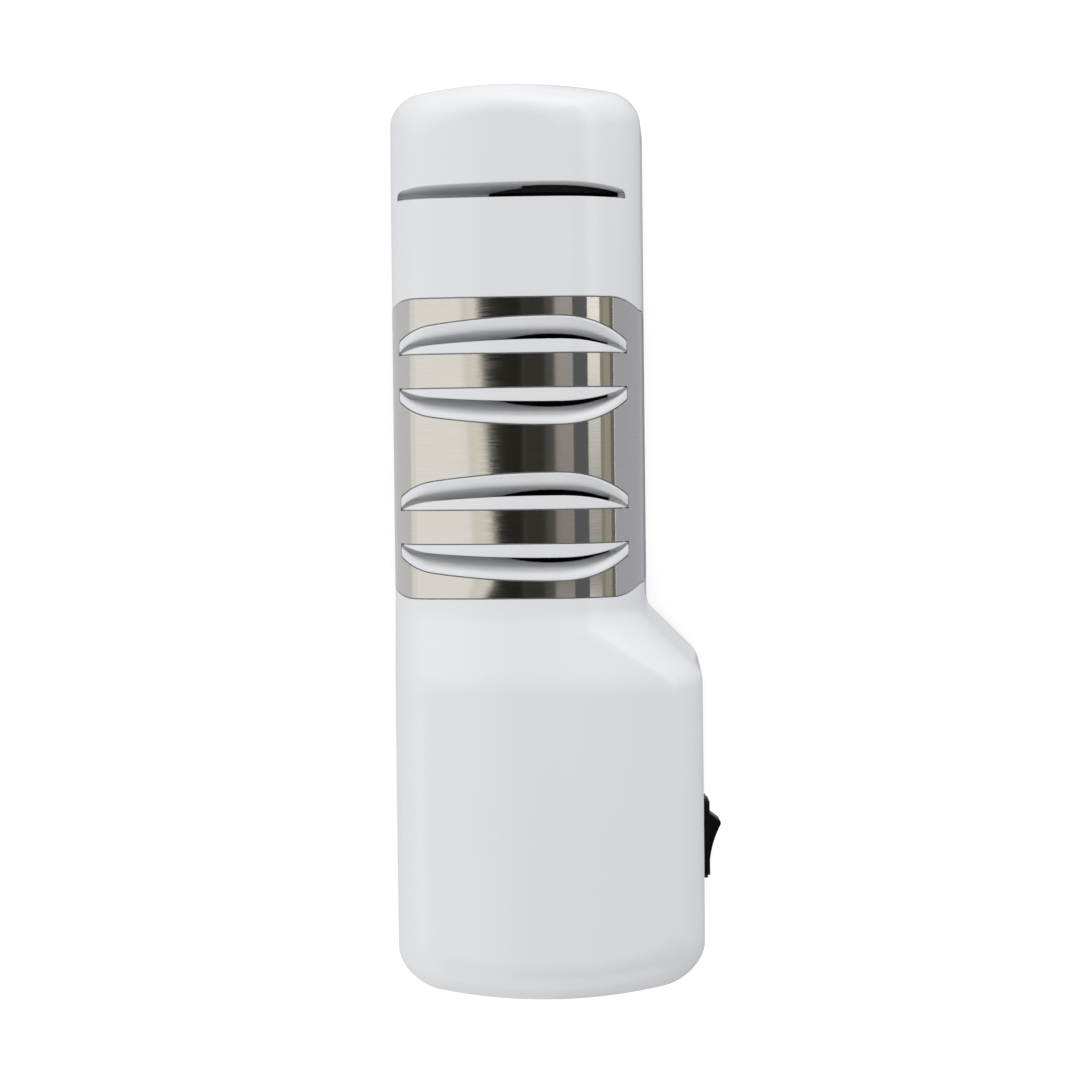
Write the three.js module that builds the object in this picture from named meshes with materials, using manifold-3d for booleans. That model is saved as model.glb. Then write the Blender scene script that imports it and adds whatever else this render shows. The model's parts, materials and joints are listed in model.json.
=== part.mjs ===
// Electric knife sharpener with two guided grinding stages and a honing stage.
// Millimetres, +Z up. +X runs from the motor end to the far end, and -Y faces the user.
// While the model is made, X is zero in the middle of the coarse stage, Y on the shaft line and
// Z on the floor. The body's length and height follow from what it holds.

import * as THREE from 'three';
import { mergeVertices } from 'three/addons/utils/BufferGeometryUtils.js';
import Module from 'manifold-3d';

const wasm = await Module();
wasm.setup();

const degree = Math.PI / 180;
const straightShare = 1e-4;
const weldDistance = 1e-4;
const halvings = 30;

// Body form
const motorCrownRise = 6;
const crownRadius = 115;
const backRoom = 12.2;
const frontRoom = 10.5;
const narrowFace = 23.7;
const shoulderInset = 5.4;
const shoulderLength = 13.7;
const shoulderHollowRadius = 6;
const shoulderRoundRadius = 3.5;
const rampInset = 3.5;
const rampLength = 17.5;
const rampEase = 2.5;
const draftAngle = 2 * degree;

// Rounded edges: widths in plan; the height of a rounding is its width times the rise share
const backRound = 10;
const narrowRound = 20.7;
const motorRound = 10;
const farEndRound = 9;
const motorEndRound = 10;
const roundRiseShare = 1.18;
const crownHollowInset = 1.5;
const crownRoundInset = 1.4;
const farCornerRadius = 7.4;
const motorCornerRadius = 10.3;
const crownCornerRadius = 4;
const farBow = 2.6;
const motorBow = 4.1;
const farBowShift = -2.4;
const motorBowShift = 1.3;
const bowReach = 24;

// Mesh fineness of the body surface: steps in half a corner, along the shoulder, across and down
const cornerSteps = 3;
const shoulderSteps = 3;
const crossSteps = 3;
const roundSteps = 4;
const innerCornerSteps = 2;
const innerShoulderSteps = 2;
const innerCrossSteps = 1;
const innerRoundSteps = 2;
const sideSteps = 1;
const boreSegments = 24;
const shaftSegments = 16;
const holeSegments = 8;
const outerSteps = {
  corner: cornerSteps,
  shoulder: shoulderSteps,
  cross: crossSteps,
  round: roundSteps,
};
const innerSteps = {
  corner: innerCornerSteps,
  shoulder: innerShoulderSteps,
  cross: innerCrossSteps,
  round: innerRoundSteps,
};

// Walls and clearances
const wall = 2.5;
const seatGap = 0.3;
const overrun = 5;
const slotLip = 0.5;
const housingBottom = 5.8;
const rimClearance = 0.5;

// Steel band
const bandThickness = 0.8;
const bandMotorMargin = 17.5;
const bandFarMargin = 17.8;
const bandBottom = 14;
const bandBendStart = 6.5;
const bandBendDrop = 22;
const bandDrawIn = 3;

// Knife slots: offsets from the middle of a stage, at the crown and at the slot floor
const stagePitch = 38.5;
const slotDepth = 11.7;
const slotEndInset = 0.4;
const stripHalfWidth = 4.35;
const guideCrownOffset = 7.65;
const guideFloorOffset = 3.98;
const archCrownOffset = 13.26;
const archFloorOffset = 6.8;
const steepCrownOffset = 10.4;
const steepFloorOffset = 6.7;
const leadInDepth = 2.2;
const leadInEndDepth = 0.4;
const rimWidth = 0.5;
const slotSteps = 4;

// End slot
const endSlotPitch = 42.5;
const endSlotInset = 28.7;
const endSlotDepth = 13.5;
const endSlotWidth = 3.7;
const endSlotFloorWidth = 1.6;

// Guide blocks and the pockets that the discs turn in
const shaftDepth = 25.5;
const guideBlockHalf = 16;
const guideBlockClearance = 9;
const pocketRadius = 20;
const pocketHalfWidth = 10.5;
const endBlockMotorReach = 9.2;
const endBlockFarReach = 13.1;
const endPocketSet = 0.6;
const endPocketLength = 7;
const endPocketRadius = 18.8;
const endWindowRadius = 22;
const endWindowBackY = 6.2;

// Shaft and grinding discs
const shaftRadius = 3;
const shaftTail = 2;
const shaftTip = 1;
const runningGap = 0.1;
const discRadius = 19;
const discFaceOffset = 5;
const discRimThickness = 3.4;
const discWebThickness = 1.6;
const discWebRadius = 11.5;
const discEdgeChamfer = 0.8;
const hubRadius = 6.6;
const hubFlangeRadius = 8.6;
const hubFlangeThickness = 1;
const clipThickness = 0.8;
const springCoilRadius = 8.6;
const springWireRadius = 0.7;
const springTurnCount = 2.5;
const springStepsPerTurn = 10;
const springWireSegments = 5;

// Honing disc and its nut
const honingSet = 1.6;
const honingThickness = 3.6;
const honingRadius = 18;
const honingWebRadius = 11;
const honingWebSet = 0.9;
const honingHubRadius = 5;
const honingHubLength = 4;
const nutRadius = 5.5;
const nutLength = 3.5;
const hexSegments = 6;

// Far shaft bracket
const bracketReach = 15.4;
const bracketThickness = 3;
const bracketHalfWidth = 13;
const bracketBossRadius = 8;
const bracketBossLength = 10;
const bracketFootLength = 14;
const bracketFootThickness = 2.5;
const bracketScrewSpacing = 16;
const bracketScrewInset = 7;
const bushRadius = 5.7;

// Motor
const motorReach = 40.4;
const stackThickness = 26;
const stackHalfWidth = 27;
const stackCrownAboveShaft = 19.5;
const stackCornerCut = 6;
const coilFloorClearance = 1.2;
const coilLegHeight = 8;
const coilWindowHeight = 8;
const coilYokeHeight = 7.7;
const coilSideWidth = 10;
const rotorRadius = 12.3;
const airGap = 0.5;
const endRingLength = 3.5;
const endRingRadius = 10.8;
const bobbinWall = 0.9;
const bobbinFlangeThickness = 1.2;
const windingBuild = 4.8;
const flangeMargin = 1;
const bearingStandoff = 12;
const bearingPlateThickness = 2;
const bearingArmInset = 10.2;
const bearingPlateWidth = 16;
const bearingLength = 8;
const motorScrewRadius = 1.6;
const motorScrewHeadRadius = 3.2;
const motorScrewHeadHeight = 2.2;
const motorScrewTail = 1.2;
const motorNutRadius = 3.6;
const motorNutLength = 2.2;

// Cooling fan
const fanClearance = 12;
const fanEndRoom = 14.1;
const fanLength = 8;
const fanRadius = 22;
const fanHubRadius = 6;
const fanDiscThickness = 1.2;
const fanBladeThickness = 1.2;
const fanBladeRoot = 5;
const fanBladeCount = 8;

// Base plate, feet and housing screws
const footHeight = 3;
const baseThickness = 2.5;
const baseInset = 0.6;
const baseRimHeight = 5;
const baseRimThickness = 1.8;
const footRadius = 6.5;
const footTread = 5.6;
const footRecess = 1;
const footChamfer = 0.8;
const bossRadius = 4;
const bossBottom = 8.5;
const wellRadius = 5.2;
const wellHeadRadius = 3.6;
const wellHeadDepth = 3;
const screwRadius = 1.6;
const screwHeadRadius = 3.2;
const screwHeadHeight = 2.1;
const screwLength = 16;
const screwTipClearance = 2;
const ventWidth = 3;
const ventHalfLength = 15;
const ventPitch = 7;
const motorVentCount = 6;
const fanVentCount = 2;
const postWidth = 6;
const postLength = 18;
const postInset = 4.5;
const footFarInset = 25.8;
const footMotorInset = 27.8;
const footBackInset = 13.2;
const footNarrowInset = 12.5;
const footMotorFaceInset = 12.7;
const bossFarInset = 10.8;
const bossMotorInset = 11.6;
const bossBackInset = 9.2;
const bossNarrowInset = 9;
const bossMotorFaceInset = 9.2;

// Switch
const switchInset = 36.9;
const switchHeight = 42;
const bezelLength = 20.2;
const bezelHeight = 14.4;
const bezelProud = 1.5;
const bezelChamfer = 1.2;
const bezelSeatSet = 0.4;
const switchBodyLength = 19.2;
const switchBodyHeight = 12.9;
const switchBodyDepth = 10;
const switchCavityLength = 18.3;
const switchCavityHeight = 11;
const switchCavityDepth = 10.5;
const rockerHalfHeight = 5.2;
const rockerTilt = 15 * degree;
const rockerPivotDepth = 6.8;
const rockerTipReach = 6.3;
const rockerTipRise = 8.6;
const rockerTipRound = 0.7;
const rockerTipSteps = 2;
const rockerDish = 0.8;
const rockerShoulderReach = 7.8;
const rockerShoulderRise = 4.95;
const rockerWaistReach = 6.4;
const rockerWaistRise = 2;
const rockerFootReach = 3.2;
const rockerFootDrop = 0.9;
const rockerPinRadius = 1.2;
const rockerPinReach = 5.9;
const rockerDishSteps = 8;
const terminalSpacing = 9;
const terminalWidth = 4.8;
const terminalThickness = 0.8;
const terminalLength = 6;

// Cord inlet bush
const inletInset = 21.1;
const inletHeight = 17;
const inletBoreRadius = 3.2;
const inletSleeveRadius = 5;
const inletFlangeRadius = 6.8;
const inletFlangeThickness = 1;
const inletRecess = 1.3;

// Places along the body
const coarseStageX = 0;
const fineStageX = coarseStageX + stagePitch;
const bandMotorX = coarseStageX - bandMotorMargin;
const bandFarX = fineStageX + bandFarMargin;
const shoulderNarrowX = bandMotorX - shoulderInset;
const shoulderMotorX = shoulderNarrowX - shoulderLength;
const rampFootX = bandMotorX - rampInset;
const rampTopX = rampFootX - rampLength;
const endSlotX = fineStageX + endSlotPitch;
const endPocketStart = endSlotX + endPocketSet;
const endPocketEnd = endPocketStart + endPocketLength;
const honingFaceX = endSlotX + honingSet;
const honingHubEndX = honingFaceX + honingHubLength;
const nutFace = honingHubEndX + seatGap;
const shaftFarEndX = nutFace + nutLength + shaftTip;
const bracketX = endSlotX - bracketReach;
const stackFarX = coarseStageX - motorReach;
const stackMotorX = stackFarX - stackThickness;
const motorMiddleX = stackMotorX + stackThickness / 2;
const rearBearingX = stackMotorX - bearingStandoff - bearingPlateThickness / 2;
const fanFarX = rearBearingX - bearingLength / 2 - fanClearance;
const fanMotorX = fanFarX - fanLength;
const shaftMotorEndX = fanMotorX - shaftTail;
const farEndX = endSlotX + endSlotInset;
const motorEndX = fanMotorX - fanEndRoom;
const switchX = motorEndX + switchInset;
const inletX = motorEndX + inletInset;

// Heights, from the base through the motor and the shaft to the crown
const floorTop = footHeight + baseThickness;
const bobbinTube = seatGap + bobbinWall;
const windingInner = bobbinTube + seatGap;
const windingOuter = windingInner + windingBuild;
const stackBottom = floorTop + coilFloorClearance + flangeMargin + windingOuter;
const coilTop = stackBottom + coilLegHeight + coilWindowHeight;
const shaftHeight = coilTop + coilYokeHeight + airGap + rotorRadius;
const stackTop = shaftHeight + stackCrownAboveShaft;
const crownHeight = shaftHeight + shaftDepth;

// Widths of the motor and of the body round it
const coilWindowHalfWidth = stackHalfWidth - coilSideWidth;
const bearingArmOffset = stackHalfWidth - bearingArmInset;
const motorScrewOffset = bearingArmOffset + bearingPlateThickness + seatGap + motorNutRadius;
const postOffset = stackHalfWidth - postInset;
const backFace = stackHalfWidth + backRoom;
const motorFace = stackHalfWidth + frontRoom;
const bezelSeatY = -(motorFace + bezelSeatSet);
const bossBackY = backFace - bossBackInset;
const bossNarrowY = bossNarrowInset - narrowFace;
const bossMotorY = bossMotorFaceInset - motorFace;
const footBackY = backFace - footBackInset;
const footNarrowY = footNarrowInset - narrowFace;
const footMotorY = footMotorFaceInset - motorFace;

// Materials
function paint(color, roughness, metalness) {
  return new THREE.MeshStandardMaterial({ color, roughness, metalness });
}
const whitePlastic = paint(0xe6e8eb, 0.3, 0);
const brushedSteel = paint(0xb9b5ac, 0.3, 1);
const blackPlastic = paint(0x17181a, 0.4, 0);
const greyPlastic = paint(0xb9bcc0, 0.5, 0);
const rubber = paint(0x2b2c2e, 0.8, 0);
const zincSteel = paint(0xa9adb1, 0.35, 1);
const laminatedSteel = paint(0x7c8086, 0.5, 0.8);
const copper = paint(0xb0683a, 0.35, 0.9);
const bronze = paint(0xb08a4e, 0.4, 0.9);
const springSteel = paint(0xc5c8cc, 0.3, 1);
const abrasive = paint(0x3a3b3e, 0.85, 0.2);
const nylon = paint(0xe9e4d6, 0.5, 0);

// Turns a closed triangle mesh into a solid, with its faces pointing out
function asSolid(geometry) {
  const bare = geometry.index ? geometry.clone() : geometry;
  bare.deleteAttribute('normal');
  bare.deleteAttribute('uv');
  const merged = mergeVertices(bare, weldDistance);
  const corners = merged.attributes.position.array;
  const triangles = Uint32Array.from(merged.index.array);
  const point = (i) => new THREE.Vector3().fromArray(corners, 3 * i);
  let volume = 0;
  for (let t = 0; t < triangles.length; t += 3) {
    const [a, b, c] = [point(triangles[t]), point(triangles[t + 1]), point(triangles[t + 2])];
    volume += a.dot(b.cross(c));
  }
  if (volume < 0) {
    triangles.reverse();
  }
  return new wasm.Manifold(new wasm.Mesh({
    numProp: 3,
    vertProperties: Float32Array.from(corners),
    triVerts: triangles,
  }));
}

function asGeometry(solid) {
  const mesh = solid.getMesh();
  const geometry = new THREE.BufferGeometry();
  geometry.setAttribute('position', new THREE.BufferAttribute(mesh.vertProperties, mesh.numProp));
  geometry.setIndex(new THREE.BufferAttribute(mesh.triVerts, 1));
  geometry.computeVertexNormals();
  return geometry;
}

function union(solids) {
  return solids.reduce((whole, piece) => whole.add(piece));
}

function fromTriangles(points, triangles) {
  const geometry = new THREE.BufferGeometry().setFromPoints(points);
  geometry.setIndex(triangles);
  return asSolid(geometry);
}

// Triangles of a flat outline, wound the way the outline runs
function capTriangles(outline) {
  const flow = Math.sign(THREE.ShapeUtils.area(outline));
  const turn = ([a, b, c]) => Math.sign(THREE.ShapeUtils.area([outline[a], outline[b], outline[c]]));
  return THREE.ShapeUtils.triangulateShape(outline, []).map(
    (face) => (turn(face) === flow ? face : [face[2], face[1], face[0]]),
  );
}

function boxSolid(low, high) {
  const size = high.map((value, axis) => value - low[axis]);
  const middle = high.map((value, axis) => (value + low[axis]) / 2);
  return asSolid(new THREE.BoxGeometry(...size).translate(...middle));
}

function extrusion(shape, depth) {
  return new THREE.ExtrudeGeometry(shape, { depth, bevelEnabled: false, curveSegments: boreSegments / 2 });
}

function shapeOf(points, holes = []) {
  const shape = new THREE.Shape(points.map(([u, v]) => new THREE.Vector2(u, v)));
  shape.holes = holes;
  return shape;
}

function circleHole(u, v, radius) {
  const path = new THREE.Path();
  path.absarc(u, v, radius, 0, 2 * Math.PI, true);
  return path;
}

// Prisms: the outline's two coordinates are the two axes left over, in X, Y, Z order
function prismAlongX(shape, from, to) {
  const toX = new THREE.Matrix4().makeBasis(
    new THREE.Vector3(0, 1, 0),
    new THREE.Vector3(0, 0, 1),
    new THREE.Vector3(1, 0, 0),
  );
  return asSolid(extrusion(shape, to - from).applyMatrix4(toX).translate(from, 0, 0));
}

function prismAlongY(shape, from, to) {
  return asSolid(extrusion(shape, to - from).rotateX(Math.PI / 2).translate(0, to, 0));
}

function prismAlongZ(shape, from, to) {
  return asSolid(extrusion(shape, to - from).translate(0, 0, from));
}

function rodAlongX(radius, from, to, y = 0, z = shaftHeight, sides = shaftSegments) {
  const rod = new THREE.CylinderGeometry(radius, radius, to - from, sides);
  return asSolid(rod.rotateZ(Math.PI / 2).translate((from + to) / 2, y, z));
}

function rodAlongZ(radius, from, to, x, y, sides = holeSegments) {
  const rod = new THREE.CylinderGeometry(radius, radius, to - from, sides);
  return asSolid(rod.rotateX(Math.PI / 2).translate(x, y, (from + to) / 2));
}

// A ring turned from a closed profile of [radius, place along the axis] pairs
function turned(profile, segments) {
  const points = [...profile, profile[0]].map(([radius, place]) => new THREE.Vector2(radius, place));
  return new THREE.LatheGeometry(points, segments);
}

function turnedOnShaft(profile, segments = shaftSegments) {
  return asSolid(turned(profile, segments).rotateZ(-Math.PI / 2).translate(0, 0, shaftHeight));
}

// Points of an arc that rounds a corner, from the side of the first neighbour to the second
function roundedCorner(before, corner, after, radius, steps) {
  const back = before.clone().sub(corner).normalize();
  const ahead = after.clone().sub(corner).normalize();
  const half = back.angleTo(ahead) / 2;
  const inward = back.clone().add(ahead).normalize();
  const centre = corner.clone().addScaledVector(inward, radius / Math.sin(half));
  const arm = corner.clone().addScaledVector(back, radius / Math.tan(half)).sub(centre);
  const sweep = Math.sign(ahead.cross(back)) * (Math.PI - 2 * half);
  return Array.from({ length: steps + 1 }, (_, i) => (
    arm.clone().rotateAround(new THREE.Vector2(), (sweep * i) / steps).add(centre)
  ));
}

function pointsBetween(from, to, count) {
  return Array.from({ length: count }, (_, i) => from.clone().lerp(to, (i + 1) / (count + 1)));
}

const shoulderTurn = Math.atan2(motorFace - narrowFace, shoulderNarrowX - shoulderMotorX);
const draftGrowth = Math.tan(draftAngle) * (crownHeight - narrowRound - housingBottom);

// Plan outline of the walls, moved in by an inset, or out where the inset is negative
function wallOutline(inset) {
  const shift = -inset * Math.tan(shoulderTurn / 2);
  return {
    back: backFace - inset,
    narrow: inset - narrowFace,
    motor: inset - motorFace,
    far: farEndX - inset,
    near: motorEndX + inset,
    hollow: new THREE.Vector2(shoulderNarrowX + shift, inset - narrowFace),
    round: new THREE.Vector2(shoulderMotorX + shift, inset - motorFace),
    farCorner: farCornerRadius - inset,
    motorCorner: motorCornerRadius - inset,
    hollowRadius: shoulderHollowRadius + inset,
    roundRadius: shoulderRoundRadius - inset,
  };
}

// Plan outline of the crown, where the rounded edges begin
function crownOutline() {
  return {
    back: backFace - backRound,
    narrow: narrowRound - narrowFace,
    motor: motorRound - motorFace,
    far: farEndX - farEndRound,
    near: motorEndX + motorEndRound,
    hollow: new THREE.Vector2(shoulderNarrowX - crownHollowInset, narrowRound - narrowFace),
    round: new THREE.Vector2(shoulderMotorX - crownRoundInset, motorRound - motorFace),
    farCorner: crownCornerRadius,
    motorCorner: crownCornerRadius,
    hollowRadius: shoulderHollowRadius,
    roundRadius: shoulderRoundRadius,
  };
}

// The ends bow outwards, most of all a little off the middle
function bowEnds(point, outline) {
  const [lowSide, shift] = point.x > 0 ? [outline.narrow, farBowShift] : [outline.motor, motorBowShift];
  const middle = (outline.back + lowSide) / 2 + shift;
  const across = (2 * (point.y - middle)) / (outline.back - lowSide);
  const farShare = Math.max(0, (point.x - outline.far + bowReach) / bowReach);
  const nearShare = Math.max(0, (outline.near + bowReach - point.x) / bowReach);
  point.x += (motorBow * nearShare - farBow * farShare) * across * across;
  return point;
}

// Four sides of an outline, each as points: back and front run with X, the ends from back to front
function outlineSides(outline, steps) {
  const nearBack = new THREE.Vector2(outline.near, outline.back);
  const farBack = new THREE.Vector2(outline.far, outline.back);
  const farFront = new THREE.Vector2(outline.far, outline.narrow);
  const nearFront = new THREE.Vector2(outline.near, outline.motor);
  const quarter = 2 * steps.corner;
  const nearBackArc = roundedCorner(nearFront, nearBack, farBack, outline.motorCorner, quarter);
  const farBackArc = roundedCorner(nearBack, farBack, farFront, outline.farCorner, quarter);
  const farFrontArc = roundedCorner(farBack, farFront, outline.hollow, outline.farCorner, quarter);
  const nearFrontArc = roundedCorner(outline.round, nearFront, nearBack, outline.motorCorner, quarter);
  const { round, hollow } = outline;
  const roundArc = roundedCorner(nearFront, round, hollow, outline.roundRadius, steps.shoulder);
  const hollowArc = roundedCorner(round, hollow, farFront, outline.hollowRadius, steps.shoulder);
  const frontCornerEnd = nearFrontArc[0];
  const frontInner = [
    ...pointsBetween(frontCornerEnd, roundArc[0], sideSteps),
    ...roundArc,
    ...hollowArc,
    ...pointsBetween(hollowArc[steps.shoulder], farFrontArc[quarter], sideSteps),
  ];
  const front = [
    ...nearFrontArc.slice(0, steps.corner + 1).reverse(),
    ...frontInner,
    ...farFrontArc.slice(steps.corner).reverse(),
  ];
  const back = [
    ...nearBackArc.slice(steps.corner),
    ...frontInner.map((point) => new THREE.Vector2(point.x, outline.back)),
    ...farBackArc.slice(0, steps.corner + 1),
  ];
  const near = [
    ...nearBackArc.slice(0, steps.corner + 1).reverse(),
    ...pointsBetween(nearBackArc[0], nearFrontArc[quarter], steps.cross),
    ...nearFrontArc.slice(steps.corner).reverse(),
  ];
  const far = [
    ...farBackArc.slice(steps.corner),
    ...pointsBetween(farBackArc[quarter], farFrontArc[0], steps.cross),
    ...farFrontArc.slice(0, steps.corner + 1),
  ];
  const copies = { back, front, near, far };
  for (const side of Object.values(copies)) {
    side.forEach((point, i) => {
      side[i] = bowEnds(point.clone(), outline);
    });
  }
  return copies;
}

// The outline as one loop, clockwise from above, starting at the motor end of the back
function outlineLoop({ back, front, near, far }) {
  return [
    ...back,
    ...far.slice(1),
    ...front.slice(0, -1).reverse(),
    ...near.slice(1, -1).reverse(),
  ];
}

// Height of the crown over the shaft line, with the ramp up to the motor part
function crownLine(x) {
  const slope = motorCrownRise / (rampFootX - rampTopX);
  const climb = (place) => Math.max(0, Math.min(motorCrownRise, (rampFootX - place) * slope));
  const samples = [-1, -0.5, 0, 0.5, 1].map((share) => climb(x + share * rampEase));
  return crownHeight + samples.reduce((sum, value) => sum + value) / samples.length;
}

function crownSag(y) {
  return crownRadius - Math.sqrt(crownRadius ** 2 - y ** 2);
}

function crownSurface(x, y) {
  return crownLine(x) - crownSag(y);
}

// Fills the crown between its four sides
function crownGrid(sides) {
  const { back, front, near, far } = sides;
  const rows = back.length - 1;
  const columns = near.length - 1;
  const grid = [];
  for (let k = 0; k <= rows; k += 1) {
    const u = (back[k].x - back[0].x) / (back[rows].x - back[0].x);
    for (let j = 0; j <= columns; j += 1) {
      const v = (near[j].y - near[0].y) / (near[columns].y - near[0].y);
      const mix = (side) => back[k][side] * (1 - v) + front[k][side] * v
        + near[j][side] * (1 - u) + far[j][side] * u
        - (back[0][side] * (1 - u) + back[rows][side] * u) * (1 - v)
        - (front[0][side] * (1 - u) + front[rows][side] * u) * v;
      grid.push(new THREE.Vector2(mix('x'), mix('y')));
    }
  }
  return { grid, rows, columns };
}

// The closed outer form of the body, moved in by an inset and cut flat at the bottom
function bodyForm(inset, bottom, steps = outerSteps) {
  const crownSides = outlineSides(crownOutline(), steps);
  const { grid, rows, columns } = crownGrid(crownSides);
  const points = grid.map((p) => new THREE.Vector3(p.x, p.y, crownSurface(p.x, p.y) - inset));
  const triangles = [];
  const cell = (k, j) => k * (columns + 1) + j;
  for (let k = 0; k < rows; k += 1) {
    for (let j = 0; j < columns; j += 1) {
      triangles.push(cell(k, j), cell(k, j + 1), cell(k + 1, j + 1));
      triangles.push(cell(k, j), cell(k + 1, j + 1), cell(k + 1, j));
    }
  }
  const crownTriangles = triangles.length;
  const crownLoop = outlineLoop(crownSides);
  const wallLoop = outlineLoop(outlineSides(wallOutline(inset), steps));
  const baseSides = outlineSides(wallOutline(inset - draftGrowth), steps);
  const count = crownLoop.length;
  let upper = [
    ...Array.from({ length: rows + 1 }, (_, k) => cell(k, 0)),
    ...Array.from({ length: columns }, (_, j) => cell(rows, j + 1)),
    ...Array.from({ length: rows }, (_, k) => cell(rows - 1 - k, columns)),
    ...Array.from({ length: columns - 1 }, (_, j) => cell(0, columns - 1 - j)),
  ];
  const addRing = (ringPoints) => {
    const lower = ringPoints.map((point) => points.push(point) - 1);
    for (let i = 0; i < count; i += 1) {
      const next = (i + 1) % count;
      triangles.push(upper[i], upper[next], lower[next]);
      triangles.push(upper[i], lower[next], lower[i]);
    }
    upper = lower;
  };
  for (let step = steps.round - 1; step >= 0; step -= 1) {
    const angle = (step / steps.round) * (Math.PI / 2);
    addRing(crownLoop.map((inner, i) => {
      const plan = wallLoop[i].clone().lerp(inner, 1 - Math.cos(angle));
      const fall = roundRiseShare * wallLoop[i].distanceTo(inner) * (1 - Math.sin(angle));
      return new THREE.Vector3(plan.x, plan.y, crownSurface(plan.x, plan.y) - inset - fall);
    }));
  }
  addRing(outlineLoop(baseSides).map((p) => new THREE.Vector3(p.x, p.y, bottom)));
  const start = points.length;
  points.push(...crownGrid(baseSides).grid.map((p) => new THREE.Vector3(p.x, p.y, bottom)));
  for (let t = 0; t < crownTriangles; t += 3) {
    triangles.push(start + triangles[t], start + triangles[t + 2], start + triangles[t + 1]);
  }
  return fromTriangles(points, triangles);
}

// How far the surface over the narrow part has fallen from the crown line
function narrowDrop(y) {
  const past = Math.max(y - (backFace - backRound), 0) / backRound
    + Math.max(narrowRound - narrowFace - y, 0) / narrowRound;
  const width = y > 0 ? backRound : narrowRound;
  return crownSag(y) + roundRiseShare * width * (1 - Math.sqrt(Math.max(0, 1 - past ** 2)));
}

// Places across the narrow part, from front to back, at even angles round each rounded edge
function slotPlaces() {
  const crownBack = backFace - backRound;
  const crownFront = narrowRound - narrowFace;
  const swing = (i) => Math.sin(((i + 1) / (slotSteps + 1)) * (Math.PI / 2));
  const steps = Array.from({ length: slotSteps }, (_, i) => swing(i));
  return [
    -(narrowFace + overrun),
    ...steps.map((share) => crownFront - narrowRound * share).reverse(),
    crownFront,
    0,
    crownBack / 2,
    crownBack,
    ...steps.map((share) => crownBack + backRound * share),
    backFace + overrun,
  ];
}

function blend(from, to, share) {
  return from + (to - from) * share;
}

// Offset of the arched outer edge of a slot from the middle of its stage
function archOffset(drop) {
  return blend(archCrownOffset, archFloorOffset, drop / slotDepth);
}

// One knife slot: a leaning guide wall inside, a steep wall with a fading lead-in outside
function slotCutter(stageX, side) {
  const floor = crownHeight - slotDepth;
  const top = crownHeight + overrun;
  const outlines = slotPlaces().map((y) => {
    const drop = Math.min(narrowDrop(y), slotDepth - 2 * leadInEndDepth);
    const share = drop / slotDepth;
    const surface = crownHeight - drop;
    const facet = surface - blend(leadInDepth, leadInEndDepth, share);
    const facetShare = (facet - floor) / (slotDepth - leadInDepth);
    const guide = blend(guideCrownOffset, guideFloorOffset, share);
    const steep = blend(steepFloorOffset, steepCrownOffset, facetShare);
    const edge = Math.max(archOffset(drop) - rimWidth, steep);
    const section = [
      [guideFloorOffset, floor],
      [guide, surface],
      [guide, top],
      [edge + slotLip, top],
      [edge, surface],
      [steep, facet],
      [steepFloorOffset, floor],
    ];
    return section.map(([offset, z]) => new THREE.Vector3(stageX + side * offset, y, z));
  });
  const size = outlines[0].length;
  const triangles = [];
  for (let s = 0; s + 1 < outlines.length; s += 1) {
    for (let i = 0; i < size; i += 1) {
      const next = (i + 1) % size;
      triangles.push(s * size + i, (s + 1) * size + i, (s + 1) * size + next);
      triangles.push(s * size + i, (s + 1) * size + next, s * size + next);
    }
  }
  const lastStart = (outlines.length - 1) * size;
  for (const [a, b, c] of capTriangles(outlines[0].map((p) => new THREE.Vector2(p.x, p.z)))) {
    triangles.push(a, b, c);
    triangles.push(lastStart + a, lastStart + c, lastStart + b);
  }
  return fromTriangles(outlines.flat(), triangles);
}

// The honing slot: one upright wall and one leaning wall over a narrow floor
function endSlotCutter() {
  const floor = crownHeight - endSlotDepth;
  const lean = (endSlotWidth - endSlotFloorWidth) / endSlotDepth;
  const shape = shapeOf([
    [endSlotX, floor],
    [endSlotX + endSlotFloorWidth, floor],
    [endSlotX + endSlotWidth + lean * overrun, crownHeight + overrun],
    [endSlotX, crownHeight + overrun],
  ]);
  return prismAlongY(shape, slotEndPlace(-1), slotEndPlace(1));
}

// Side view of the band: it draws in towards the walls
function bandSlab(margin) {
  const top = crownHeight - bandBendStart;
  const bend = crownHeight - bandBendDrop;
  const shape = shapeOf([
    [bandMotorX + bandDrawIn - margin, bandBottom - margin],
    [bandFarX - bandDrawIn + margin, bandBottom - margin],
    [bandFarX - bandDrawIn + margin, bend],
    [bandFarX + margin, top],
    [bandFarX + margin, crownHeight + overrun],
    [bandMotorX - margin, crownHeight + overrun],
    [bandMotorX - margin, top],
    [bandMotorX + bandDrawIn - margin, bend],
  ]);
  const reach = motorFace + overrun;
  return prismAlongY(shape, -reach, reach + overrun);
}

// Plan of the window beside the straight strip, grown by a margin
function bandWindow(stageX, side, margin) {
  const ends = [slotEndPlace(-1) - margin, slotEndPlace(1) + margin];
  const places = slotPlaces().filter((y) => y > ends[0] && y < ends[1]);
  const arch = places.map((y) => [stageX + side * (archOffset(narrowDrop(y)) + margin), y]);
  const inner = stageX + side * (stripHalfWidth - margin);
  const outer = stageX + side * (archFloorOffset + margin);
  const points = [[inner, ends[0]], [outer, ends[0]], ...arch, [outer, ends[1]], [inner, ends[1]]];
  return prismAlongZ(shapeOf(points), crownHeight - slotDepth - overrun, crownHeight + overrun);
}

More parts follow.
